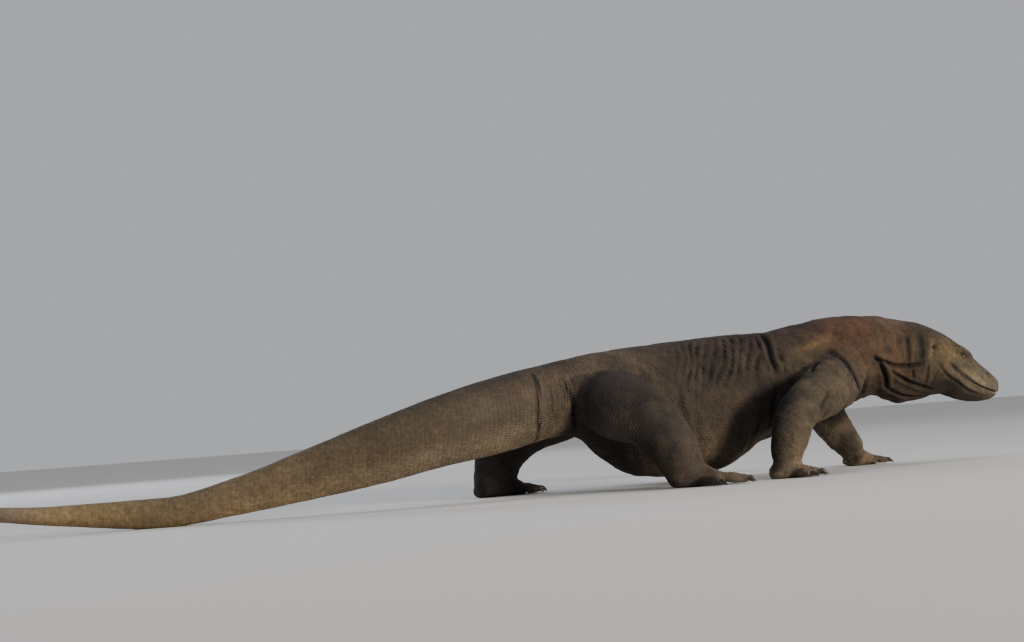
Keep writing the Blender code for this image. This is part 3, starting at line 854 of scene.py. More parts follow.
# %% Lines and folds
def on_body(rows, count=24):
    """A smooth line on the body through rows of (distance, side angle), for the right side."""
    table = np.array(rows, float)
    knots = np.arange(len(table))
    at = np.linspace(0, len(table) - 1, count)
    distance, angle = (through(knots, column, at) for column in table.T)
    return body_surface(distance, np.radians(angle))


def distance_to(points, line):
    """Distance to a bent line, and how far along it the nearest place is, from 0 to 1."""
    lengths = np.linalg.norm(np.diff(line, axis=0), axis=1)
    gap, share, done = np.full(len(points), np.inf), np.zeros(len(points)), 0.0
    for start, end, length in zip(line, line[1:], lengths):
        run = end - start
        at = np.clip((points - start) @ run / max(run @ run, 1e-12), 0, 1)
        here = np.linalg.norm(points - start - at[:, None] * run, axis=1)
        nearer = here < gap
        gap, share = np.where(nearer, here, gap), np.where(nearer, (done + at * length), share)
        done += length
    return gap, share / done


def both_sides(rows):
    """The same line on the right side and on the left."""
    return on_body(rows), on_body([(at, 180 - angle) for at, angle in rows])


def nearby(points, line, margin):
    """Which points are within a margin of a line's own box."""
    low, high = line.min(axis=0) - margin, line.max(axis=0) + margin
    return np.all((points > low) & (points < high), axis=1)


def fold(points, line, width, depth, swell):
    """A valley -depth exp(-(gap / width)^2) between two swells, fading out at both ends."""
    push = np.zeros(len(points))
    close = nearby(points, line, 4.5 * width)
    gap, share = distance_to(points[close], line)
    fade = np.clip(6 * share * (1 - share), 0, 1) ** 0.7
    valley = np.exp(-((gap / width) ** 2))
    lips = np.exp(-(((gap - 2.1 * width) / width) ** 2))
    push[close] = fade * (swell * lips - depth * valley)
    return push


# Folds on both sides: rows of (distance, side angle), then width, depth and swell in mm.
FOLDS = (
    ("jaw_edge", ((0.212, 173), (0.184, 184), (0.142, 200), (0.100, 209), (0.060, 214)), 4.0, 4.4, 1.2),
    ("lip_corner", ((0.196, 172), (0.205, 186), (0.208, 205)), 2.6, 2.2, 0.8),
    ("throat_high", ((0.372, 186), (0.327, 193), (0.288, 190), (0.238, 177)), 4.5, 6.5, 2.2),
    ("throat_low", ((0.322, 202), (0.280, 210), (0.237, 216), (0.190, 226)), 4.5, 6.5, 2.4),
    ("throat_under", ((0.345, 226), (0.290, 236), (0.230, 243), (0.180, 246)), 5.0, 5.0, 2.0),
    ("throat_upright", ((0.373, 180), (0.350, 197), (0.335, 214), (0.324, 234)), 5.0, 8.0, 3.0),
    ("neck_a", ((0.290, 142), (0.286, 160), (0.283, 176), (0.280, 190)), 4.6, 4.6, 1.4),
    ("neck_b", ((0.316, 136), (0.311, 152), (0.309, 168)), 5.6, 2.0, 1.0),
    ("neck_c", ((0.262, 128), (0.257, 148), (0.252, 166), (0.250, 184)), 5.4, 2.4, 1.0),
    ("neck_d", ((0.340, 132), (0.345, 148), (0.342, 164)), 5.4, 1.6, 0.9),
    ("neck_e", ((0.232, 178), (0.226, 200), (0.224, 220)), 3.6, 3.6, 1.2),
    ("neck_f", ((0.266, 192), (0.262, 206)), 3.2, 3.0, 1.0),
    ("collar", ((0.404, 168), (0.398, 188), (0.392, 215), (0.394, 250)), 6.0, 3.0, 1.6),
    ("shoulder_deep", ((0.655, 104), (0.652, 122), (0.650, 140), (0.640, 160)), 6.0, 9.0, 3.0),
    ("shoulder_next", ((0.626, 140), (0.620, 152), (0.610, 166)), 6.0, 3.5, 1.2),
    ("arm_pit", ((0.640, 176), (0.655, 200), (0.650, 226)), 7.0, 5.0, 2.0),
    ("belly_a", ((0.700, 196), (0.720, 215), (0.722, 240)), 7.0, 3.5, 1.6),
    ("belly_b", ((0.960, 150), (0.955, 176), (0.940, 205)), 8.0, 2.6, 1.4),
    ("belly_c", ((0.930, 140), (0.925, 168), (0.905, 200)), 8.0, 1.8, 1.2),
    ("hip_back", ((1.258, 140), (1.251, 160), (1.240, 183), (1.227, 214), (1.206, 246)), 5.5, 7.0, 2.4),
    ("tail_band", ((1.322, 122), (1.324, 146), (1.330, 183), (1.322, 215), (1.312, 246)), 4.4, 5.0, 1.4),
    ("tail_band_two", ((1.290, 150), (1.293, 180), (1.286, 205)), 3.0, 1.4, 0.6),
)
# Creases where an arm meets the chest: points in space, drawn to the nearest place on the skin.
CREASES = (
    ("before_right_arm", ((0.480, -0.076, 0.302), (0.498, -0.085, 0.292), (0.502, -0.118, 0.274),
                          (0.504, -0.144, 0.253), (0.506, -0.160, 0.230), (0.514, -0.162, 0.206),
                          (0.530, -0.146, 0.184)), 7.0, 13.0, 3.4),
    ("behind_right_arm", ((0.440, -0.100, 0.290), (0.423, -0.110, 0.271),
                          (0.400, -0.145, 0.249)), 5.0, 6.0, 1.6),
    ("inside_right_elbow", ((0.398, -0.215, 0.196), (0.380, -0.234, 0.176),
                            (0.366, -0.238, 0.162)), 4.0, 3.5, 1.0),
    ("behind_left_arm", ((0.505, 0.102, 0.292), (0.492, 0.132, 0.252),
                         (0.498, 0.146, 0.205)), 5.5, 7.0, 2.6),
)


def on_skin(rows, count=28):
    """A smooth line through places in space, each of its points moved to the nearest skin point."""
    at = np.linspace(0, len(rows) - 1, count)
    line = curve(np.arange(len(rows)), rows, at)
    steps = np.stack([np.arange(count - 1), np.arange(1, count)], axis=1)
    for _round in range(3):  # drawn to the skin, then evened, three times over
        nearest = [points[np.argmin(((points - place) ** 2).sum(axis=1))] for place in line]
        line = soften(np.array(nearest), steps, np.full(count, 0.5), 2)
    return line


def fold_lines(names):
    """The lines of the named folds on both sides, each with its width in metres."""
    named = [row for row in FOLDS if row[0] in names]
    return [(line, width / 1000) for _name, rows, width, *_ in named for line in both_sides(rows)]


creases = [
    (on_skin(rows), width / 1000, depth / 1000, swell / 1000)
    for _name, rows, width, depth, swell in CREASES
]
SHARP_FOLDS = ("tail_band", "shoulder_deep")  # no scale bridges these, as in the creases
SHADED_FOLDS = ("jaw_edge", "throat_high", "throat_low", "throat_upright", "neck_a", "neck_c")
dark_lines = [crease[:2] for crease in creases] + fold_lines(SHARP_FOLDS)
soft_lines = fold_lines(SHADED_FOLDS)


def crease_gap(points):
    """Distance to the nearest crease or sharp fold, in units of its own width."""
    return np.min([distance_to(points, line)[0] / width for line, width in dark_lines], axis=0)


def fold_shade(points):
    """1 in the bottom of the broad folds of throat and jaw, fading to 0 beside them."""
    shade = np.zeros(len(points))
    for line, width in soft_lines:
        close = nearby(points, line, 4 * width)
        gap, share = distance_to(points[close], line)
        fade = np.clip(6 * share * (1 - share), 0, 1)
        shade[close] = np.maximum(shade[close], fade * np.exp(-((gap / (1.7 * width)) ** 2)))
    return shade


def ripples(strength, across, step, sharpness):
    """Even valleys a step apart: a push of strength (1/4 - (1/2 - cos(2 pi across / step) / 2)^n)."""
    return strength * (0.25 - (0.5 - 0.5 * np.cos(2 * np.pi * across / step)) ** sharpness)


push = np.zeros(len(points))
for _name, rows, width, depth, swell in FOLDS:
    for line in both_sides(rows):
        push += fold(points, line, width / 1000, depth / 1000, swell / 1000)
for crease in creases:
    push += fold(points, *crease)

# Pleats of the flank: narrow valleys an even step apart that wander a little. They stand upright
# behind the arm and lean more and more towards the hip, by LEAN from their top to their foot.
PLEAT, PLEAT_DEPTH, LEAN = 0.0225, 0.0058, -0.115
wander = distance + 0.0035 * rumple(points, 0.12, 5)
wander += LEAN * smooth_step(distance, 0.56, 0.86) * (side - 100) / 78
flank = smooth_step(distance, 0.60, 0.68) * smooth_step(distance, 0.99, 0.89)
flank *= smooth_step(side, 102, 112) * smooth_step(side, 172, 144) * (1 - limb)
uneven = np.clip(0.75 + 0.35 * rumple(points, 0.07, 6), 0.2, 1.3)
push += ripples(flank * uneven * PLEAT_DEPTH, wander, PLEAT, 1.8)

# Looser wrinkles low on the neck, round the wrists and ankles, and a general unevenness, whose
# share is given at named rows.
LOOSE = (("tip", 0.25), ("jaw_angle", 0.30), ("nape", 0.9), ("shoulders", 0.9), ("loin", 0.7),
         ("root", 0.45), ("tail_a", 0.25), ("tail_tip", 0.15))
NECK_WRINKLE, CUFF_WRINKLE = 0.0155, 0.012  # from one to the next
wander = distance + 0.004 * rumple(points, 0.06, 8) + 0.01 * np.sin(np.radians(side * 3))
neck = smooth_step(distance, 0.21, 0.25) * smooth_step(distance, 0.47, 0.40) * (1 - limb)
neck *= smooth_step(side, 104, 128)
push += ripples(neck * 0.0004, wander, NECK_WRINKLE, 2)
cuff = limb * smooth_step(points[:, 2], 0.15, 0.10) * smooth_step(points[:, 2], 0.035, 0.05)
bands = points[:, 2] + 0.003 * rumple(points, 0.04, 9)
push += ripples(cuff * 0.0006, bands, CUFF_WRINKLE, 2)
loose = by_row(LOOSE, distance) * (1 - 0.5 * smooth_step(side, 120, 100))
push += (0.0011 * rumple(points, 0.055, 11) + 0.0006 * rumple(points, 0.022, 12)) * loose
print(f"folds: {len(FOLDS)} a side, pleats every {PLEAT * 1000:.0f} mm, depth to {-push.min() * 1000:.1f} mm")

# %% [markdown]
# ## The head
# The head is a long flat wedge: a square brow over each eye, a groove of a mouth that climbs
# towards the ear, small nostrils near the tip and an open ear behind the jaw. Swells and pits are
# round bumps exp(-(gap / size)^2) at named places. The mouth is where a slanting plane cuts the
# head, so it runs round the snout in one line.

# %% Forms of the head
# Swells and pits on both sides: distance, side angle, size fore and aft and up and down, height in mm.
FORMS = (
    ("jaw_muscle", 0.198, 156, 24.0, 24.0, 2.6),
    ("jaw_muscle_low", 0.192, 186, 16.0, 14.0, 1.8),
    ("temple_hollow", 0.180, 126, 14.0, 10.0, -1.6),
    ("snout_hollow", 0.104, 140, 20.0, 7.0, -1.2),
    ("nostril_swell", 0.064, 138, 12.0, 9.0, 1.4),
    ("nostril", 0.064, 141, 5.2, 3.4, -5.4),
    ("ear_rim", 0.212, 152, 6.0, 9.0, 1.6),
    ("ear", 0.224, 154, 5.4, 8.5, -6.5),
    ("chin", 0.040, 225, 14.0, 12.0, 0.8),
)
# Ridges on both sides: rows of (distance, side angle), then width and height.
RIDGES = (
    ("brow", ((0.176, 131), (0.160, 127), (0.146, 122), (0.131, 118), (0.114, 114)), 0.0054, 0.0062),
    ("snout_edge", ((0.116, 116), (0.092, 121), (0.070, 124)), 0.0048, 0.0012),
)
# Small steps, in metres along and degrees round, that give the directions along the skin.
AHEAD_STEP, ROUND_STEP = 0.004, 3.0
for _name, at, angle_there, long, tall, height in FORMS:
    for side_of in (angle_there, 180 - angle_there):
        spot, fore, rise = body_surface(
            np.array([at, at - AHEAD_STEP, at]), np.radians([side_of, side_of, side_of + ROUND_STEP])
        )
        along, upward = unit(fore - spot), unit(rise - spot)
        offset = points - spot
        a, b = offset @ along / long * 1000, offset @ upward / tall * 1000
        deep = (np.linalg.norm(offset, axis=1) / (max(long, tall) * 1.5) * 1000) ** 2
        push += height / 1000 * np.exp(-(a**2) - b**2) * np.exp(-np.maximum(deep - 1, 0))
for _name, rows, width, height in RIDGES:
    for line in both_sides(rows):
        gap, share = distance_to(points, line)
        push += height * np.exp(-((gap / width) ** 2)) * np.clip(5 * share * (1 - share), 0, 1)

MOUTH_FRONT, MOUTH_CORNER = np.array([0.974, 0.0, 0.163]), np.array([0.814, 0.0, 0.243])
back = unit(MOUTH_CORNER - MOUTH_FRONT)
MOUTH_UP = np.array([back[2], 0.0, -back[0]])
MOUTH_HALF = 0.0018
MOUTH_SAG = 0.0125  # how far the lips hang below a straight line half way
MOUTH_WIDENS = 0.905, 0.850  # x where the groove begins to widen, and where it is widest


def mouth(points, distance):
    """Height above the mouth's sagging line, and 1 ahead of the mouth's corner fading to 0 behind it."""
    ahead = smooth_step(points[:, 0], MOUTH_CORNER[0] - 0.010, MOUTH_CORNER[0] + 0.006)
    share = np.clip((points[:, 0] - MOUTH_CORNER[0]) / (MOUTH_FRONT[0] - MOUTH_CORNER[0]), 0, 1)
    over = (points - MOUTH_FRONT) @ MOUTH_UP + 4 * MOUTH_SAG * share * (1 - share)
    return over, ahead * smooth_step(distance, 0.24, 0.20)


def mouth_gap(points, distance):
    """Height above the mouth's line in units of its half width, which grows towards the corner."""
    over = mouth(points, distance)[0]
    return over / (MOUTH_HALF * (1 + 2.0 * smooth_step(points[:, 0], *MOUTH_WIDENS)))


over, ahead = mouth(points, distance)
push += ahead * (
    -0.0048 * np.exp(-(mouth_gap(points, distance) ** 2))
    + 0.0014 * np.exp(-(((over - 0.0052) / 0.0030) ** 2))
    + 0.0012 * np.exp(-(((over + 0.0050) / 0.0032) ** 2))
)
print(f"head: {len(FORMS)} forms a side, mouth {np.linalg.norm(MOUTH_CORNER - MOUTH_FRONT) * 1000:.0f} mm")

# %% [markdown]
# ## The coat's depth
# The solids mark the outside of the animal, scales included, so the skin lies inside them by the
# depth of the scales: less than a millimetre on face and feet, a little more on the trunk.

# %% Pushing the skin in and out
#          row          depth of the scales, mm
COAT = (("tip", 0.7), ("jaw_angle", 0.7), ("neck", 0.8), ("withers", 1.1), ("tail_c", 1.0),
        ("tail_g", 0.8), ("tail_tip", 0.4))


def coat_depth(points, distance, limb):
    """Depth of the scales in metres: from the table on the body, by height on the limbs."""
    on_limb = 0.7 + 0.4 * smooth_step(points[:, 2], 0.03, 0.09)
    return (by_row(COAT, distance) * (1 - limb) + on_limb * limb) / 1000


SOLE = 0.0004  # no point of the skin is lower
move_points(skin.data, points)
normals = read(skin.data.vertices, "normal", 3)
shaped = points + normals * (push - coat_depth(points, distance, limb))[:, None]

# Lids: the skin is drawn up over a ball a little larger than the eye, and sinks inside an opening.
EYE_RADIUS, EYE_BULGE, EYE_BACK, EYE_ANGLE = 0.0105, 0.0040, 0.30, 33.0
LID, LID_BLEND = 0.0011, 0.0016  # thickness, and how softly the lid leaves the face
OPEN_LONG, OPEN_TALL, OPEN_DROP = 0.0072, 0.0036, 0.0006  # half sizes, and how far it sits low
OPEN_FLOOR = 0.0040  # the skin inside the opening, out from the eye's middle: the ball hides it
EYE_REACH = 0.016  # nothing further from the eye's middle belongs to it


def eye_places():
    """Middle, outward, forward and upward directions of each eye, as the solids were cut."""
    at = place("eye") + EYE_BACK * (place("temple") - place("eye"))
    found = {}
    for name, turn in (("left", np.radians(EYE_ANGLE)), ("right", np.pi - np.radians(EYE_ANGLE))):
        ring = body_surface(at, turn + np.array([-0.02, 0.0, 0.02]))
        fore = body_surface(at - AHEAD_STEP, turn)
        outward = unit(np.cross(ring[2] - ring[0], fore - ring[1]))
        outward *= 1 if outward[1] * (1 if name == "left" else -1) > 0 else -1
        forward = unit((fore - ring[1]) - ((fore - ring[1]) @ outward) * outward)
        upward = np.cross(outward, forward)
        upward *= np.sign(upward[2])
        found[name] = (ring[1] - outward * (EYE_RADIUS - EYE_BULGE), outward, forward, upward)
    return found


eyes = eye_places()
for name, (middle, outward, forward_way, upward) in eyes.items():
    offset = shaped - middle
    high = offset @ outward
    a, b = offset @ forward_way, offset @ upward
    aside = np.hypot(a, b)
    near = (aside < EYE_REACH) & (high > 0) & (high < 0.02)
    dome = np.sqrt(np.clip((EYE_RADIUS + LID) ** 2 - aside**2, 0, None))
    lifted = (high + dome + np.sqrt((high - dome) ** 2 + LID_BLEND**2)) / 2 - LID_BLEND * 0.25
    lifted = np.where(aside < EYE_RADIUS + LID, lifted, high)
    ring_gap = np.sqrt((a / OPEN_LONG) ** 2 + ((b + OPEN_DROP) / OPEN_TALL) ** 2)
    rim = 0.0007 * np.exp(-(((ring_gap - 1.25) / 0.16) ** 2)) - 0.0010 * np.exp(
        -(((ring_gap - 1.75) / 0.17) ** 2)
    )
    inside = smooth_step(ring_gap, 1.10, 0.90)
    target = (lifted + rim) * (1 - inside) + OPEN_FLOOR * inside
    shaped += np.where(near, target - high, 0.0)[:, None] * outward
shaped[:, 2] = np.maximum(shaped[:, 2], SOLE)
shaped = soften(shaped, edges, np.full(len(shaped), 0.12), 1)
shaped[:, 2] = np.where(points[:, 2] < 0.0006, SOLE, np.maximum(shaped[:, 2], SOLE))
move_points(skin.data, shaped)
skin.data.shade_smooth()
for name, (middle, *_ways) in eyes.items():
    low, high = (np.array(corner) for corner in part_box(f"eye_{name}"))
    gap = np.linalg.norm(placed(middle) - (low + high) / 2)
    print(f"eye_{name}: {gap * 1000:.2f} mm from the middle of its node's box")
flesh = [name for name in frame["nodes"] if "claw" not in name and "eye" not in name]
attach(skin, "root")
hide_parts(*flesh)
print("skin replaces", len(flesh), "nodes")

# %% [markdown]
# ## Markings
# The hide is drab: grey brown, warmer on the neck, pale on the face and along the tail, and darkest
# on the flank and hind legs, the hind legs partly with painted shade. The colours are given at the
# same named rows as the shape, for back, side and belly, and every place in between is mixed from
# them. Places that are always in shade, such as behind an arm or thigh, under the jaw and the chest,
# in creases, folds, the mouth, the nostrils and the ears, are painted darker too, as on a museum
# figure. Painted light makes the underside of the trunk and tail, the lit fronts of the limbs and a
# spot on the brow paler. Skin and scales both ask this one function, so they always agree.


# %% Where the hide has which colour
#          row          back       side       belly
# The belly column holds painted light and shade: dark under the head, throat, chest and groin, where shade
# falls, and pale under the middle of the trunk and the tail, as if lit from below.
TONES = (
    ("tip",       "#7f7871", "#7b7262", "#5e5140"),
    ("snout",     "#6c6661", "#685f50", "#3a2e25"),
    ("temple",    "#4a453f", "#61543f", "#281e16"),
    ("jaw_angle", "#46423d", "#584c38", "#2f241b"),
    ("nape",      "#473f36", "#413423", "#41332a"),
    ("neck",      "#675549", "#584430", "#45362c"),
    ("shoulders", "#5b453a", "#574535", "#483a2f"),
    ("withers",   "#473830", "#514536", "#3b3027"),
    ("ribs",      "#3b2f29", "#3a2f26", "#524536"),
    ("loin",      "#3d322b", "#3b3228", "#574c3d"),
    ("groin",     "#594d41", "#473d33", "#3c3229"),
    ("root",      "#4d4235", "#564a3c", "#685a48"),
    ("tail_a",    "#433a31", "#524637", "#6d5f4c"),
    ("tail_c",    "#514636", "#61523f", "#7e6e57"),
    ("tail_e",    "#806f55", "#806e53", "#927d5c"),
    ("tail_f",    "#7c6c50", "#7d6c4e", "#7d6b4b"),
    ("tail_g",    "#978463", "#98825e", "#8f7952"),
    ("tail_h",    "#847670", "#83766e", "#7d6e60"),
    ("tail_tip",  "#847670", "#83766e", "#7d6e62"),
)
# Patches: distance, side angle, reach along in m, reach round in degrees, colour, strength.
PATCHES = (
    ("rust_neck",     0.410, 132, 0.062, 32, "#6c4530", 0.50),
    ("rust_shoulder", 0.470, 138, 0.050, 20, "#69452f", 0.40),
    ("ochre_withers", 0.525, 145, 0.042, 4, "#94774c", 0.55),
    ("arm_shade",     0.672, 205, 0.045, 34, "#1d1510", 0.62),
    ("eye_shade",     0.145, 139, 0.020, 11, "#241d16", 0.85),
    # painted shade behind the brow ridge
    ("behind_brow_shade",   0.166, 128, 0.010, 12, "#37342e", 0.75),
    ("cheek_yellow",  0.192, 150, 0.024, 19, "#8a7848", 0.50),
    ("ear_pale",      0.230, 147, 0.005, 6, "#a89b80", 0.60),
    ("ear_pale_low",  0.229, 164, 0.005, 9, "#9c8d70", 0.60),
    # a painted highlight on the brow ridge
    ("brow_highlight",     0.148, 118, 0.010, 7, "#a9aba8", 0.70),
    ("lip_pale",      0.100, 176, 0.045, 7, "#9a8b70", 0.65),
    # painted shade low under the neck, in front of the arm
    ("before_arm_shade", 0.396, 238, 0.018, 16, "#120b07", 0.85),
    ("lower_lip",     0.140, 181, 0.030, 6, "#8b7b5f", 0.55),
    # painted light from below on the lower belly
    ("belly_lit_from_below",    0.865, 205, 0.042, 22, "#6c5d4c", 0.75),
    ("belly_ochre",   0.826, 200, 0.022, 10, "#7a5a40", 0.50),
    # painted shade inside the nostril and the ear opening
    ("nostril_shade",  0.064, 141, 0.005, 5, "#0c0806", 0.95),
    ("ear_shade",      0.224, 154, 0.004, 5, "#0f0b08", 0.55),
    ("scar_a",        1.366, 142, 0.010, 12, "#5f3c2b", 0.50),
    ("scar_b",        1.349, 162, 0.008, 8, "#5f3c2b", 0.45),
)
# Zones of the body, both painted shade: from, to, side angle from, to, colour, strength; the edges fade.
ZONES = (
    ("behind_thigh_shade", 1.030, 1.240, 150, 285, "#2b231e", 0.92),
    ("arm_shadow_on_belly", 0.590, 0.720, 168, 262, "#251b15", 0.70),
)
FADE_ALONG, FADE_ROUND = 0.016, 9.0
# Patches of the limbs: place, reach in m, colour, strength. The dark ones are painted shade on the
# rear of the near limbs and on the far foreleg. The two pale ones, at the rear of the thigh and on the
# front rim of the far arm, are painted light.
LIMB_PATCHES = (
    ("thigh_shade", (-0.068, -0.262, 0.110), 0.058, "#150f0a", 0.74),
    ("knee_shade", (-0.068, -0.262, 0.180), 0.047, "#1d1814", 0.62),
    ("thigh_rear_light", (-0.140, -0.205, 0.145), 0.050, "#54483f", 0.60),
    ("near_wrist_rear_shade", (0.238, -0.195, 0.066), 0.044, "#1a120d", 0.88),
    ("near_forearm_rear_shade", (0.250, -0.200, 0.112), 0.043, "#1a120d", 0.88),
    ("near_elbow_rear_shade", (0.268, -0.200, 0.155), 0.040, "#1a120d", 0.88),
    ("near_arm_rear_shade", (0.288, -0.197, 0.200), 0.050, "#130d09", 0.92),
    ("far_arm_shade", (0.600, 0.135, 0.150), 0.052, "#0e0a07", 0.96),
    ("far_forearm_shade", (0.656, 0.165, 0.054), 0.046, "#231c13", 0.88),
    ("far_arm_rim_light", (0.700, 0.178, 0.070), 0.024, "#7a705e", 0.50),
)
# On the head the underside's tone starts at the fold of the jaw: row, side angle from, to.
LOW_EDGE = (("tip", 196, 220), ("snout", 197, 214), ("temple", 188, 206), ("jaw_angle", 178, 204),
            ("nape", 196, 236), ("root", 196, 236), ("tail_a", 178, 222), ("tail_tip", 178, 222))
# Fore legs: a tone, its share at the foot, and how much less at the elbow; they come out paler low
# down, painted light for the lit front of the forearm. Hind legs: rear in painted shade, front in painted
# light.
FORE_TONE, FORE_SHARE, FORE_LESS = "#5c5142", 1.76, 0.80
HIND_TONES = ("#352c26", "#473d36")
TINGES = (("#5c3b30", 24), ("#4c4630", 25))  # faint clouds of rust and olive: colour, seed
GLARE = 0.55  # how much darker the pigment is than it looks under the studio lamps


def colour_of(code):
    """A hex colour as a linear RGB array."""
    return np.array(linear(code)[:3])


def markings(points, distance, side, limb):
    """Linear RGB of the hide at any places: rows mixed along, back to belly round, then patches."""
    knots = [place(row[0]) for row in TONES]
    back_tone, side_tone, belly_tone = (
        curve(knots, [colour_of(row[column]) for row in TONES], distance) for column in (1, 2, 3)
    )
    low = smooth_step(side, by_row(LOW_EDGE, distance, 1), by_row(LOW_EDGE, distance, 2))[:, None]
    high = smooth_step(side, 142, 112)[:, None]
    tone = side_tone * (1 - low - high) + belly_tone * low + back_tone * high
    for _name, at, angle_there, along, around, code, strength in PATCHES:
        gap = ((distance - at) / along) ** 2 + ((side - angle_there) / around) ** 2
        mixed = strength * np.exp(-gap) * (1 - limb)
        tone += mixed[:, None] * (colour_of(code) - tone)
    for _name, start, stop, over, under, code, strength in ZONES:
        inside = smooth_step(distance, start - FADE_ALONG, start) * smooth_step(distance, stop, stop - 0.004)
        inside *= smooth_step(side, over - FADE_ROUND, over) * smooth_step(side, under + FADE_ROUND, under)
        tone += (strength * inside * (1 - limb))[:, None] * (colour_of(code) - tone)
    hind = smooth_step(points[:, 0], 0.12, 0.04)
    height = smooth_step(points[:, 2], 0.02, 0.16)
    fore_tone = colour_of(FORE_TONE) * (FORE_SHARE - FORE_LESS * height)[:, None]
    # painted light on the front of each hind leg, painted shade behind it
    lit = smooth_step(points[:, 0], -0.045, -0.012)[:, None]
    hind_tone = colour_of(HIND_TONES[0]) * (1 - lit) + colour_of(HIND_TONES[1]) * lit
    limb_tone = fore_tone * (1 - hind[:, None]) + hind_tone * hind[:, None]
    for _name, spot, reach, code, strength in LIMB_PATCHES:
        mixed = strength * np.exp(-((np.linalg.norm(points - np.array(spot), axis=1) / reach) ** 4))
        limb_tone += mixed[:, None] * (colour_of(code) - limb_tone)
    tone = tone * (1 - limb[:, None]) + limb_tone * limb[:, None]
    # Painted shade: near black along the creases and sharp folds, darker in the mouth's groove and in the
    # bottom of the broad folds of throat and jaw.
    tone *= 1 - 0.92 * np.exp(-((crease_gap(points) / 1.3) ** 2))[:, None]
    gap = np.minimum(mouth_gap(points, distance) / 1.3, 9.0)
    in_mouth = np.exp(-(gap**2)) * mouth(points, distance)[1]
    tone *= (1 - 0.85 * in_mouth)[:, None] * (1 - 0.60 * fold_shade(points))[:, None]
    uneven = 1 - 0.6 * smooth_step(distance, place("root"), place("tail_b"))
    speckled = 0.13 * smooth_step(distance, 0.30, 0.20) * rumple(points, 0.013, 23)
    blotch = 1 + uneven * (0.11 * rumple(points, 0.10, 21) + 0.08 * rumple(points, 0.035, 22)) + speckled
    for code, seed in TINGES:
        tinge = 0.22 * uneven * smooth_step(rumple(points, 0.045, seed), 0.2, 1.6)
        tone += tinge[:, None] * (colour_of(code) - tone) * (tone.mean(axis=1) > 0.018)[:, None]
    return tone * np.clip(blotch, 0.6, 1.5)[:, None] * GLARE


def colour_mesh(mesh, colours):
    """Stores a colour for every vertex as the attribute `hide`, which the material reads."""
    stored = mesh.attributes.new("hide", "FLOAT_COLOR", "POINT")
    rgba = np.concatenate([colours, np.ones((len(colours), 1))], axis=1)
    stored.data.foreach_set("color", rgba.astype(np.float32).ravel())


BETWEEN = 0.92  # bare skin between the scales is darker than they are
# Painted shade: the skin darkens in the valleys that the folds push in.
hollow = smooth_step(-push, 0.0006, 0.0042)
hide = markings(points, distance, side, limb) * BETWEEN * (1 - 0.72 * hollow)[:, None]
colour_mesh(skin.data, hide)
print("hide colours from", np.round(hide.min(axis=0), 3), "to", np.round(hide.max(axis=0), 3))

# %% [markdown]
# ## The hide's material
# Reptile hide is keratin over leather: dry, with a faint waxy gloss that varies from place to
# place, and dusted with sand. Colour comes from the markings with a fine mottling on top, and the
# grain is bump that is too small to model.

# %% Keratin
def noise(tree, where, size, detail):
    """Cloudy noise whose clouds have about a size in metres."""
    return add(tree, "TexNoise", {"Vector": where, "Scale": 1 / size, "Detail": detail}).outputs["Fac"]


def ranged(tree, value, low, high, to_low, to_high):
    """A value between low and high, spread over another range."""
    ends = {"From Min": low, "From Max": high, "To Min": to_low, "To Max": to_high}
    return add(tree, "MapRange", {"Value": value, **ends}).outputs["Result"]


def keratin(name, rough, grain_mm, bump_mm, dust):
    """Dry horny hide: marked colour with mottling, gloss that varies, and a fine grain."""
    material, tree, shader = new_material(name)
    where = add(tree, "TexCoord").outputs["Object"]
    marked = add(tree, "VertexColor", layer_name="hide").outputs["Color"]
    mottle = noise(tree, where, 0.009, 4.0)
    shade = ranged(tree, mottle, 0.3, 0.7, 0.72, 1.28)
    shaded = add(tree, "VectorMath", {0: marked, "Scale": shade}, operation="SCALE").outputs["Vector"]
    sanded = ranged(tree, noise(tree, where, 0.05, 6.0), 0.52, 0.72, 0.0, dust)
    colour = add(
        tree, "Mix", {"Factor": sanded, 6: shaded, 7: linear("#7a6c55")}, data_type="RGBA"
    ).outputs[2]
    tree.links.new(colour, shader.inputs["Base Color"])
    gloss = ranged(tree, mottle, 0.0, 1.0, rough - 0.12, rough + 0.12)
    tree.links.new(gloss, shader.inputs["Roughness"])
    shader.inputs["Specular IOR Level"].default_value = 0.27
    grain = add(
        tree, "TexVoronoi", {"Vector": where, "Scale": 1000 / grain_mm}, feature="F1"
    ).outputs["Distance"]
    bump = add(
        tree, "Bump", {"Height": grain, "Strength": 0.5, "Distance": bump_mm / 1000}, invert=True
    ).outputs["Normal"]
    tree.links.new(bump, shader.inputs["Normal"])
    return material


bare_hide = keratin("leathery_skin_between_scales", 0.72, 2.2, 0.5, 0.08)
scale_horn = keratin("dry_keratin_scales", 0.62, 1.2, 0.15, 0.10)
skin.data.materials.clear()
skin.data.materials.append(bare_hide)
print("materials:", bare_hide.name, "and", scale_horn.name)

# %% [markdown]
# ## One scale
# Each scale is a small horny bead, a little longer than wide, with its crown set a little back.
# The tail carries keeled scales in clean rings instead. A scale is repeated tens of thousands of
# times, so the bead has 22 triangles and the keeled one 8.

# %% Two shapes of scale
def bead():
    """A low dome: six corners sunk in the skin, six higher and closer, and a crown set back."""
    turn = round_angles(6)
    rim = np.stack([np.cos(turn), np.sin(turn), np.full(6, -0.32)], axis=1)
    shoulder = np.stack([0.66 * np.cos(turn) + 0.04, 0.66 * np.sin(turn), np.full(6, 0.66)], axis=1)
    crown = np.array([[0.12, 0.0, 1.0]])
    low, high = np.arange(6), np.arange(6, 12)
    walls = np.stack([low, np.roll(low, -1), np.roll(high, -1), high], axis=1)
    top = np.stack([high, np.roll(high, -1), np.full(6, 12)], axis=1)
    return np.concatenate([rim, shoulder, crown]), (walls, top, low[None, ::-1])


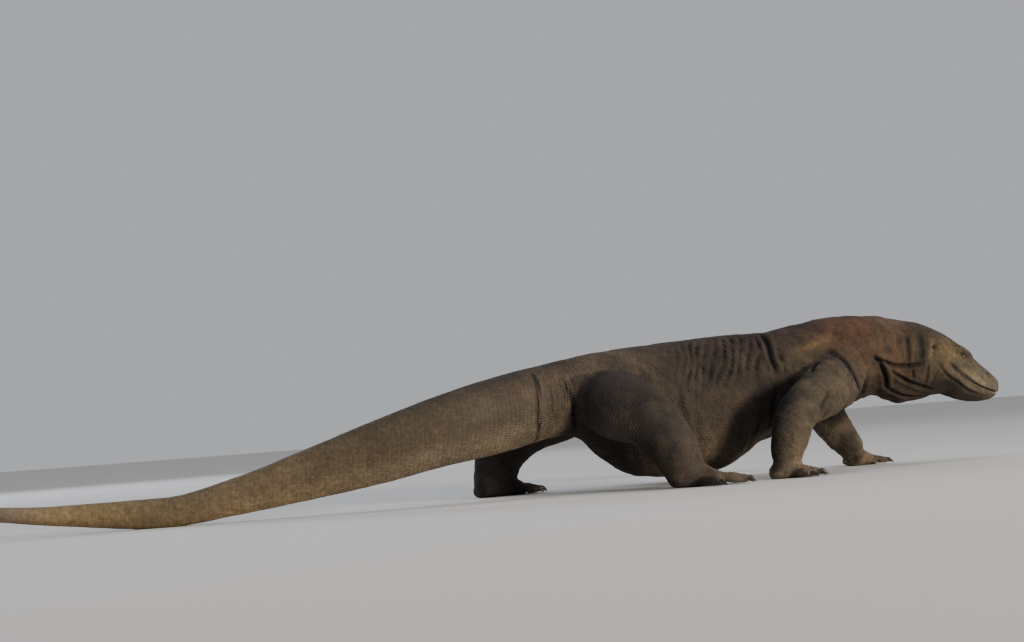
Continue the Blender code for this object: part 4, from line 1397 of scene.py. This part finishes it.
def keeled():
    """A tile with a roof: four corners sunk in the skin and a ridge that rises towards the back."""
    rim = np.array([[1.0, 0.95, 0], [-1.0, 0.95, 0], [-1.0, -0.95, 0], [1.0, -0.95, 0]]) + [0, 0, -0.35]
    ridge = np.array([[-0.60, 0.0, 0.66], [0.78, 0.0, 1.0]])
    sides = np.array([[0, 1, 4, 5], [2, 3, 5, 4]])
    ends = np.array([[3, 0, 5], [1, 2, 4]])
    return np.concatenate([rim, ridge]), (sides, ends, np.arange(4)[None, ::-1])


BEAD, KEELED = bead(), keeled()
print("bead:", len(BEAD[0]), "points; keeled:", len(KEELED[0]), "points")

# %% [markdown]
# ## Laying scales
# Scales grow in rings, so their roots are worked out ring by ring on the plain curves: an even
# step along, an even step round, every other ring shifted by half a step, and by less on the
# tail. Each root then drops to the nearest place on the finished skin, together with four points
# around it that say which way the skin faces there. A Shrinkwrap modifier does this for all of
# them at once. Instancing on faces would be simpler, but it has no rings.

# %% Rings of roots
draw = np.random.default_rng(41)
SHIFTED, SIZE_RANGE = 0.28, (0.84, 1.10)  # no two scales are quite the same size or in line


def even_steps(knots, pitches, start, stop):
    """Places along a line whose spacing follows a table: the inverse of the sum of 1 / pitch."""
    fine = np.linspace(start, stop, 4000)
    count = np.concatenate([[0], np.cumsum(np.diff(fine) / through(knots, pitches, fine[1:]))])
    return np.interp(np.arange(0.5, count[-1]), count, fine)


COUNT_RATIO = 0.07  # a ring's count changes only by such shares, so neighbours stay interlocked


def ring_roots(surface, steps, width_at, turned=0.5, fine_sides=240):
    """Roots on rings of a surface: in each ring, a number of equal steps of arc.

    Every other ring is turned by half a step, so that the scales interlock like a honeycomb. With
    a smaller turn they come closer to straight rows.
    """
    turn = np.linspace(0, 2 * np.pi, fine_sides + 1)
    rings = surface(steps[:, None], turn[None, :])
    arcs = np.cumsum(np.linalg.norm(np.diff(rings, axis=1), axis=2), axis=1)
    arcs = np.concatenate([np.zeros((len(steps), 1)), arcs], axis=1)
    at, angles = [], []
    for number, (step, arc) in enumerate(zip(steps, arcs)):
        fits = np.log(max(arc[-1] / width_at(step), 4.0))
        count = int(np.exp(np.round(fits / COUNT_RATIO) * COUNT_RATIO))
        shares = (np.arange(count) + turned * (number % 2)) / count * arc[-1]
        angles.append(np.interp(shares, arc, turn))
        at.append(np.full(count, step))
    return np.concatenate(at), np.concatenate(angles)


def bed(surface, at, angle, middle, half_long, half_wide, unwrapped):
    """A bed of roots: place, directions along and round, body's middle, half sizes and unwrap."""
    along = unit(surface(at + 0.002, angle) - surface(at - 0.002, angle))
    around = unit(surface(at, angle + 0.02) - surface(at, angle - 0.02))
    aside = (half_wide * draw.uniform(-SHIFTED, SHIFTED, len(at)))[:, None] * around
    size = draw.uniform(*SIZE_RANGE, len(at))
    return [surface(at, angle) + aside, along, around, middle, half_long * size, half_wide * size, unwrapped]


def drop(points):
    """The nearest places on the skin, by a Shrinkwrap modifier on a mesh of loose points."""
    loose = bpy.data.meshes.new("loose")
    loose.vertices.add(len(points))
    move_points(loose, points)
    helper = piece("loose", loose, smooth=False)
    wrap = helper.modifiers.new("drop", "SHRINKWRAP")
    wrap.target, wrap.wrap_method = skin, "NEAREST_SURFACEPOINT"
    apply_modifiers(helper)
    dropped = read(helper.data.vertices, "co", 3) - MOVED
    bpy.data.objects.remove(helper)
    return dropped


def rooted(spot, along, around, middle, half_long, half_wide, unwrapped, reach=0.010):
    """Roots dropped onto the skin, with axes that lie on it; those with no skin near are left out.

    Returns root, along, around, outward, half sizes, unwrap and how deep below the plain curves.
    """
    tiers = [spot, spot + along * half_long[:, None], spot - along * half_long[:, None],
             spot + around * half_wide[:, None], spot - around * half_wide[:, None]]
    root, back_end, front_end, one_side, other_side = drop(np.concatenate(tiers)).reshape(5, -1, 3)
    along, around = back_end - front_end, one_side - other_side
    outward = np.cross(along, around)
    outward *= np.sign(np.einsum("ij,ij->i", outward, root - middle))[:, None]
    keep = (np.linalg.norm(root - spot, axis=1) < reach) & (np.linalg.norm(outward, axis=1) > 1e-9)
    outward, along = unit(outward), unit(along)
    around = np.cross(outward, along)
    depth = np.einsum("ij,ij->i", spot - root, outward)
    fields = (root, along, around, outward, half_long, half_wide, unwrapped, depth)
    return [field[keep] for field in fields]


def crowded(points, taken, cell):
    """True where a place shares a small cube, or a neighbouring one, with a taken place."""
    def keys(cubes):
        return cubes @ np.array([1, 4096, 4096 * 4096])

    cubes = np.floor(points / cell).astype(np.int64) + 2048
    full = np.unique(keys(np.floor(taken / cell).astype(np.int64) + 2048))
    found = np.zeros(len(points), bool)
    for shift in itertools.product((-1, 0, 1), repeat=3):
        found |= np.isin(keys(cubes + np.array(shift)), full)
    return found


#          row          step along, width across, mm
RINGS = (
    ("tip", 2.7, 2.6), ("snout", 3.1, 3.0), ("temple", 3.5, 3.4), ("jaw_angle", 3.8, 3.6),
    ("neck", 4.1, 3.8), ("shoulders", 4.9, 4.6), ("withers", 5.7, 5.4), ("paunch", 6.6, 6.2),
    ("root", 7.4, 6.2), ("tail_a", 10.0, 5.6), ("tail_d", 10.6, 5.2), ("tail_g", 8.6, 4.4),
    ("tail_tip", 5.0, 2.6),
)
RING_KNOTS = [place(row[0]) for row in RINGS]
RING_STEPS, RING_WIDTHS = ([row[column] / 1000 for row in RINGS] for column in (1, 2))


def ring_step(distance):
    """Distance from ring to ring, in metres."""
    return through(RING_KNOTS, RING_STEPS, distance)


def ring_width(distance):
    """Width of one scale, in metres."""
    return through(RING_KNOTS, RING_WIDTHS, distance)


# A hexagon that interlocks is 2/3 of the step long from its middle, and 1 / sqrt(3) wide.
LONG_SHARE, WIDE_SHARE = 0.64, 0.56
TILE_LONG, TILE_WIDE = 0.54, 0.57  # tiles overlap a little
LIMB_SHARE = 0.92  # scales of the limbs are narrower, for the same length
LIMB_PITCHES = [0.0062, 0.0055, 0.0044]  # shoulder or hip, elbow or knee, ankle
PALM_PITCH, TOE_PITCHES = 0.0040, [0.0036, 0.0031]
PALM_SPAN = 1.55  # from heel to knuckles, in lengths of the foot
FOOT_BARE = 0.0035  # no root of a limb's scale is nearer to the ground


def body_bed(start, stop, tiled):
    """The bed of scales on the body between two distances; tiled ones stand in clean rings."""
    steps = even_steps(RING_KNOTS, RING_STEPS, start, stop)
    at, angle = ring_roots(body_surface, steps, ring_width, 0.3 if tiled else 0.5)
    unwrapped = np.stack([angle / (2 * np.pi), (at - start) / (stop - start)], axis=1)
    wander = 0.04 if tiled else 0.20
    at = np.clip(at + ring_step(at) * draw.uniform(-wander, wander, len(at)), 0.003, LENGTH - 0.003)
    long_share, wide_share = (TILE_LONG, TILE_WIDE) if tiled else (LONG_SHARE, WIDE_SHARE)
    sizes = long_share * ring_step(at), wide_share * ring_width(at)
    return bed(body_surface, at, angle, section(at)[0], *sizes, unwrapped)


def limb_beds(leg):
    """The beds of a leg, its palm and its toes; each takes one strip of the unwrap."""
    end = bones(leg)[1][-1]
    size = FEET[leg.split("_")[0]]
    foot, ahead = foot_directions(leg)[:2]
    span = PALM_SPAN * size["length"]

    def on_leg(at, angle):
        return leg_surface(leg, np.clip(at, 0, end), angle)

    def on_palm(at, angle):
        return palm_surface(leg, np.clip(at / span, 0, 1), angle)

    jobs = [
        (on_leg, end, [0, 0.45 * end, end], LIMB_PITCHES, leg_line(leg, np.linspace(0, end, 9))),
        (on_palm, span, [0, end], [PALM_PITCH, PALM_PITCH],
         foot + np.outer(np.linspace(-0.55, 1.0, 9) * size["length"], ahead) - [0, 0, 0.02]),
    ]
    for toe in size["toes"]:
        line = toe_rows(leg, toe)[0]
        length = np.linalg.norm(np.diff(line, axis=0), axis=1).sum()

        def on_toe(at, angle, toe=toe, length=length):
            return toe_surface(leg, toe, np.clip(at / length, 0, 1), angle)

        jobs.append((on_toe, length, [0, length], TOE_PITCHES, line))
    beds = []
    for number, (surface, length, knots, pitch, line) in enumerate(jobs):
        def width_at(step, knots=knots, pitch=pitch):
            return LIMB_SHARE * float(through(knots, pitch, step))

        steps = even_steps(knots, pitch, 0.001, length - 0.001)
        at, angle = ring_roots(surface, steps, width_at, fine_sides=96)
        wander = through(knots, pitch, at) * draw.uniform(-0.30, 0.30, len(at))
        at = np.clip(at + wander, 0.001, length - 0.001)
        middle = np.stack([np.interp(at, np.linspace(0, length, len(line)), c) for c in line.T], axis=1)
        half = through(knots, pitch, at)
        u = (number + 0.05 + 0.9 * angle / (2 * np.pi)) / len(jobs)
        sizes = LONG_SHARE * half, LIMB_SHARE * WIDE_SHARE * half
        fields = bed(surface, at, angle, middle, *sizes, np.stack([u, at / length], axis=1))
        beds.append([field[fields[0][:, 2] > FOOT_BARE] for field in fields])
    return [np.concatenate(fields) for fields in zip(*beds)]


print("rings from", RINGS[0][1], "mm apart on the snout to", max(row[1] for row in RINGS), "mm on the tail")

# %% [markdown]
# ## The coat of scales
# The beds are laid in order: lids and lips first, then the body, then the limbs, and a later bed
# leaves out what an earlier one already covers. No scale lies in the eye's opening, the mouth's
# line, the nostril, the ear or a sharp crease.

# %% Lids and lips
LID_RINGS = ((1.24, 0.9), (1.60, 1.05), (2.05, 1.2), (2.6, 1.35))  # share of the opening, half mm
LIP_ROWS = ((0.0039, 2.5, 1.8), (-0.0039, 2.4, 1.7))  # height over the mouth's line, half mm
LIP_FROM, LIP_TO, LIP_STEP = 0.004, 0.182, 0.0049
LID_OUT = 0.009  # the granules start this far out from the eye's middle and drop to the lid


def lid_beds():
    """Rings of granules round each eye: ellipses that widen from the opening outwards."""
    beds = []
    for number, (middle, outward, fore, upward) in enumerate(eyes.values()):
        for ring, half in LID_RINGS:
            long, tall = OPEN_LONG * (0.4 + 0.6 * ring), OPEN_TALL * ring
            count = int(np.pi * (long + tall) / (2.1 * half / 1000))
            turn = round_angles(count)
            spot = middle + np.outer(long * np.cos(turn), fore)
            spot = spot + np.outer(tall * np.sin(turn) - OPEN_DROP, upward) + outward * LID_OUT
            along = unit(-np.outer(np.sin(turn), fore) + np.outer(np.cos(turn), upward))
            around = unit(np.cross(np.broadcast_to(outward, along.shape), along))
            size = np.full(count, half / 1000)
            unwrapped = np.stack([np.full(count, 0.46 + 0.05 * number), turn / 70 + 0.45], axis=1)
            beds.append([spot, along, around, np.broadcast_to(middle, spot.shape) - outward * 0.01,
                         size, size, unwrapped])
    return [np.concatenate(fields) for fields in zip(*beds)]


def lip_beds():
    """Rows of larger scales along the lips, where each ring of the head crosses a set height."""
    beds = []
    steps = np.arange(LIP_FROM, LIP_TO, LIP_STEP)
    angles = np.radians(np.linspace(120, 262, 600))
    rings = body_surface(steps[:, None], angles[None, :])
    heights = mouth(rings.reshape(-1, 3), 0.1)[0].reshape(rings.shape[:2])
    for number, (height, long, wide) in enumerate(LIP_ROWS):
        turn = np.array([np.interp(-height, -row, angles) for row in heights])
        fits = (heights[:, 0] > height) & (heights[:, -1] < height)
        at, turn = steps[fits], turn[fits]
        for side_of in (turn, np.pi - turn):
            sizes = np.full(len(at), long / 1000), np.full(len(at), wide / 1000)
            unwrapped = np.stack([(side_of / (2 * np.pi)) % 1, at / 0.3 + 0.002 * number], axis=1)
            beds.append(bed(body_surface, at, side_of, section(at)[0], *sizes, unwrapped))
    return [np.concatenate(fields) for fields in zip(*beds)]


def bare(root):
    """True where no scale belongs: the eye's opening, the mouth, the nostrils, the ears, soles."""
    found = root[:, 2] < 0.0016
    for middle, _outward, fore, upward in eyes.values():
        offset = root - middle
        ring = np.hypot(offset @ fore / OPEN_LONG, (offset @ upward + OPEN_DROP) / OPEN_TALL)
        found |= (ring < 1.12) & (np.linalg.norm(offset, axis=1) < EYE_REACH)
    found |= crease_gap(root) < 0.85
    distance = body_chart(root)[0]
    found |= (np.abs(mouth_gap(root, distance)) < 1.0) & (mouth(root, distance)[1] > 0.5)
    for name, at, angle_there, long, _tall, _height in FORMS:
        if name in ("nostril", "ear"):
            for side_of in (angle_there, 180 - angle_there):
                spot = body_surface(np.array([at]), np.radians([side_of]))
                found |= np.linalg.norm(root - spot, axis=1) < 0.75 * long / 1000
    return found


# %% [markdown]
# ## Making the pieces
# A piece of the coat is one mesh for a stretch of the animal. Its points are worked out for all
# scales at once: each root's three axes times the corners of the shape. They lie flatter on the
# upper side of the tail and towards its end. Crowns are paler than the edges, and a scale that sits
# deep in a fold is darker with painted shade. The coat map gives each scale a small patch at its
# root's place on an unwrap of the body, so that colours can be read scale by scale.

# %% Making the pieces
CEILING = float(cad_box[1][2]) - 0.0003  # scales may not stand higher than the solids


def scale_piece(name, shape, roots, lift=1.0):
    """One joined mesh: every scale is the shape, sized and turned to its root's own axes."""
    root, along, around, outward, half_long, half_wide, unwrapped, depth = roots
    corners, faces = shape
    at, angle_here, out_here = body_chart(root)
    side_here, limb_here = side_angle(angle_here), limb_share(out_here)
    flat = 0.55 * smooth_step(side_here, 200, 150) * smooth_step(at, place("root"), place("tail_a"))
    flat = np.maximum(flat, 0.75 * smooth_step(at, place("tail_d"), place("tail_g")))
    height = coat_depth(root, at, limb_here) * lift * (1 - flat) * draw.uniform(0.85, 1.15, len(root))
    a, b, c = (corners[:, axis] for axis in range(3))
    world = (
        root[:, None]
        + (half_long[:, None] * a)[..., None] * along[:, None]
        + (half_wide[:, None] * b)[..., None] * around[:, None]
        + (height[:, None] * c)[..., None] * outward[:, None]
    ).reshape(-1, 3)
    world[:, 2] = np.clip(world[:, 2], 0.0002, CEILING)
    starts = np.arange(len(root)) * len(corners)
    joined = [(face[None] + starts[:, None, None]).reshape(-1, face.shape[1]) for face in faces]
    mesh = mesh_from(name, placed(world), *joined)
    made = piece(name, mesh, smooth=shape is not KEELED)  # a keel is a sharp ridge
    # painted shade on scales that sit deep in a fold
    sunk = smooth_step(depth - coat_depth(root, at, limb_here), 0.0008, 0.0046)
    tone = markings(root, at, side_here, limb_here) * (1 - 0.62 * sunk)[:, None]
    tone *= np.clip(1 + 0.09 * (1 - 0.8 * flat) * draw.normal(0.0, 1.0, len(root)), 0.6, 1.5)[:, None]
    paler_crowns = 0.92 + 0.12 * np.clip(c, 0, 1)  # crowns are paler than the edges
    colour_mesh(mesh, (tone[:, None] * paler_crowns[None, :, None]).reshape(-1, 3))
    corner_of = read(mesh.loops, "vertex_index", 1, np.int32)[:, 0]
    spot = unwrapped[corner_of // len(corners)] * 0.97 + 0.015
    spot = spot + 0.0015 * corners[corner_of % len(corners), :2]
    layer = mesh.uv_layers.new(name="OFBake")
    layer.data.foreach_set("uv", spot.astype(np.float32).ravel())
    mesh.materials.append(scale_horn)
    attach(made, "root")
    triangles = sum(len(face) * (face.shape[1] - 2) for face in joined)
    print(f"{name}: {len(root)} scales, {triangles} triangles")
    return made, triangles


def kept(roots, taken, cell):
    """Roots that are on no bare place and not crowded by roots already laid."""
    free = ~bare(roots[0])
    if len(taken):
        free &= ~crowded(roots[0], taken, cell)
    return [field[free] for field in roots]


total = 0
fine = kept(rooted(*lid_beds(), reach=0.012), (), 0)
lips = kept(rooted(*lip_beds()), (), 0)
#          piece           from      to       shape    slot
COATS = (
    ("scales_head", 0.003, 0.247, BEAD, "head_skin"),
    ("scales_neck", 0.247, 0.480, BEAD, "neck_skin"),
    ("scales_chest", 0.480, 0.730, BEAD, "body_skin"),
    ("scales_belly", 0.730, 1.010, BEAD, "body_skin"),
    ("scales_hips", 1.010, 1.300, BEAD, "body_skin"),
    ("scales_tail", 1.300, LENGTH - 0.002, KEELED, "tail_skin"),
)
laid = np.concatenate([fine[0], lips[0]])
for name, start, stop, shape, slot_name in COATS:
    roots = rooted(*body_bed(start, stop, shape is KEELED))
    if name == "scales_head":
        over, ahead = mouth(roots[0], body_chart(roots[0])[0])
        clear = (np.abs(over) > 0.0055) | (ahead < 0.5)
        roots = kept([field[clear] for field in roots], fine[0], 0.0011)
        roots = [np.concatenate(fields) for fields in zip(roots, fine, lips)]
    else:
        roots = kept(roots, (), 0)
    laid = np.concatenate([laid, roots[0]])
    total += scale_piece(name, shape, roots)[1]
for leg in LEGS:
    roots = kept(rooted(*limb_beds(leg), reach=0.009), laid, 0.0030)
    total += scale_piece(f"scales_{leg}", BEAD, roots, lift=0.8)[1]
print("coat:", total, "triangles in all")

# %% [markdown]
# ## Eyes
# A monitor's eye is small and dark, with a round pupil, a brown iris and a cornea that bulges a
# little. It sits in the shade of the brow, so it is given a faint gleam and not the hard one of
# glass. The ball is a grid of rings round the line of sight, and each point stores its angle from
# that line, so the iris needs no unwrap.

# %% Eyeballs
BALL_GAP, CORNEA = 0.0002, 0.0006  # the ball is this much smaller than its solid; the bulge


def eyeball(name, middle, outward, fore, upward, rings=40, sides=48):
    """A ball with a cornea: radius R + h exp(-(angle / 0.55)^2) round the line of sight."""
    angle = np.linspace(0.0, np.pi, rings + 2)[1:-1]
    radius = EYE_RADIUS - BALL_GAP + CORNEA * np.exp(-((angle / 0.55) ** 2))
    turn = round_angles(sides)
    ways = np.cos(turn)[:, None] * fore + np.sin(turn)[:, None] * upward
    points = middle + radius[:, None, None] * (
        np.cos(angle)[:, None, None] * outward + np.sin(angle)[:, None, None] * ways[None]
    )
    made = closed_tube(name, [points])
    from_sight = np.concatenate([np.repeat(angle, sides), [0.0, np.pi]])
    store(made, "from_sight", from_sight)
    return made


wet_eye, tree, shader = new_material("wet_cornea_over_brown_iris", Roughness=0.36)
shader.inputs["Specular IOR Level"].default_value = 0.16
sight = add(tree, "Attribute", attribute_name="from_sight").outputs["Fac"]
# Angle from the line of sight, in radians: pupil, iris, then the dark round it.
IRIS = ((0.0, "#050403"), (0.20, "#050403"), (0.24, "#20140b"), (0.42, "#3a2614"), (0.56, "#180f09"),
        (0.66, "#17100b"))
tree.links.new(ramp(tree, sight, IRIS), shader.inputs["Base Color"])
for name, ways in eyes.items():
    ball = eyeball(f"eyeball_{name}", *ways)
    ball.data.materials.append(wet_eye)
    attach(ball, "root")
    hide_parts(f"eye_{name}")
    print(ball.name, "radius", EYE_RADIUS * 1000, "mm")

# %% [markdown]
# ## Claws
# The claws are dark horn, flattened from side to side, and curve down to just off the ground.
# Each is a tapering tube whose root sits inside the end of its toe. It is palest at the root:
# each point stores how far along the claw it sits, and the material darkens with that.

# %% Claws
CLAW_LENGTH, CLAW_CLEARANCE, CLAW_ROOT = 0.026, 0.0015, 0.005


def claw(leg, toe, rings=18, sides=18):
    """A grid of ovals along a path that rises a little, then curves down; and each ring's share."""
    line, halves = toe_rows(leg, toe)
    half = halves[-1]
    level = unit((line[-1] - line[-2]) * [1.0, 1.0, 0.0])
    share = np.linspace(-CLAW_ROOT / CLAW_LENGTH, 1.0, rings)
    knots = [-0.2, 0.0, 0.35, 0.70, 1.0]
    drop_to = line[-1][2] - CLAW_CLEARANCE - half * 0.1
    hump = through(knots, [0.0, 0.0, 0.16 * half, -0.25 * drop_to, -drop_to], share)
    path = line[-1] + np.outer(share * CLAW_LENGTH * 0.92, level)
    path[:, 2] = line[-1][2] + hump
    tall, deep = (
        half * size * through(knots, [1.0, 1.0, taper, 0.52, 0.07], share)
        for size, taper in ((0.84, 0.84), (0.58, 0.80))
    )
    grid = tube(
        path[:, None], np.gradient(path, axis=0)[:, None], tall[:, None], deep[:, None],
        round_angles(sides)[None, :], Z_AXIS,
    )
    return grid, share


horn, tree, shader = new_material("dark_claw_horn", Roughness=0.34)
where = add(tree, "TexCoord").outputs["Object"]
grown = add(tree, "Attribute", attribute_name="grown").outputs["Fac"]
streaks = noise(tree, where, 0.0015, 3.0)
aged = add(tree, "Math", {0: grown, 1: streaks}, operation="MULTIPLY").outputs[0]
shades = ramp(tree, aged, ((0.0, "#4a4036"), (0.28, "#15110e")))
tree.links.new(shades, shader.inputs["Base Color"])
grooves = add(tree, "Bump", {"Height": streaks, "Strength": 0.25, "Distance": 0.0004}).outputs["Normal"]
tree.links.new(grooves, shader.inputs["Normal"])
for leg in LEGS:
    for number, toe in enumerate(FEET[leg.split("_")[0]]["toes"], start=1):
        grid, share = claw(leg, toe)
        made = closed_tube(f"{leg}_horn_{number}", [grid])
        store(made, "grown", np.concatenate([np.repeat(share, grid.shape[1]), [0.0, 1.0]]))
        made.data.materials.append(horn)
        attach(made, "root")
        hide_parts(f"{leg}_claw_{number}")
print("claws: five a foot, each", CLAW_LENGTH * 1000, "mm long")
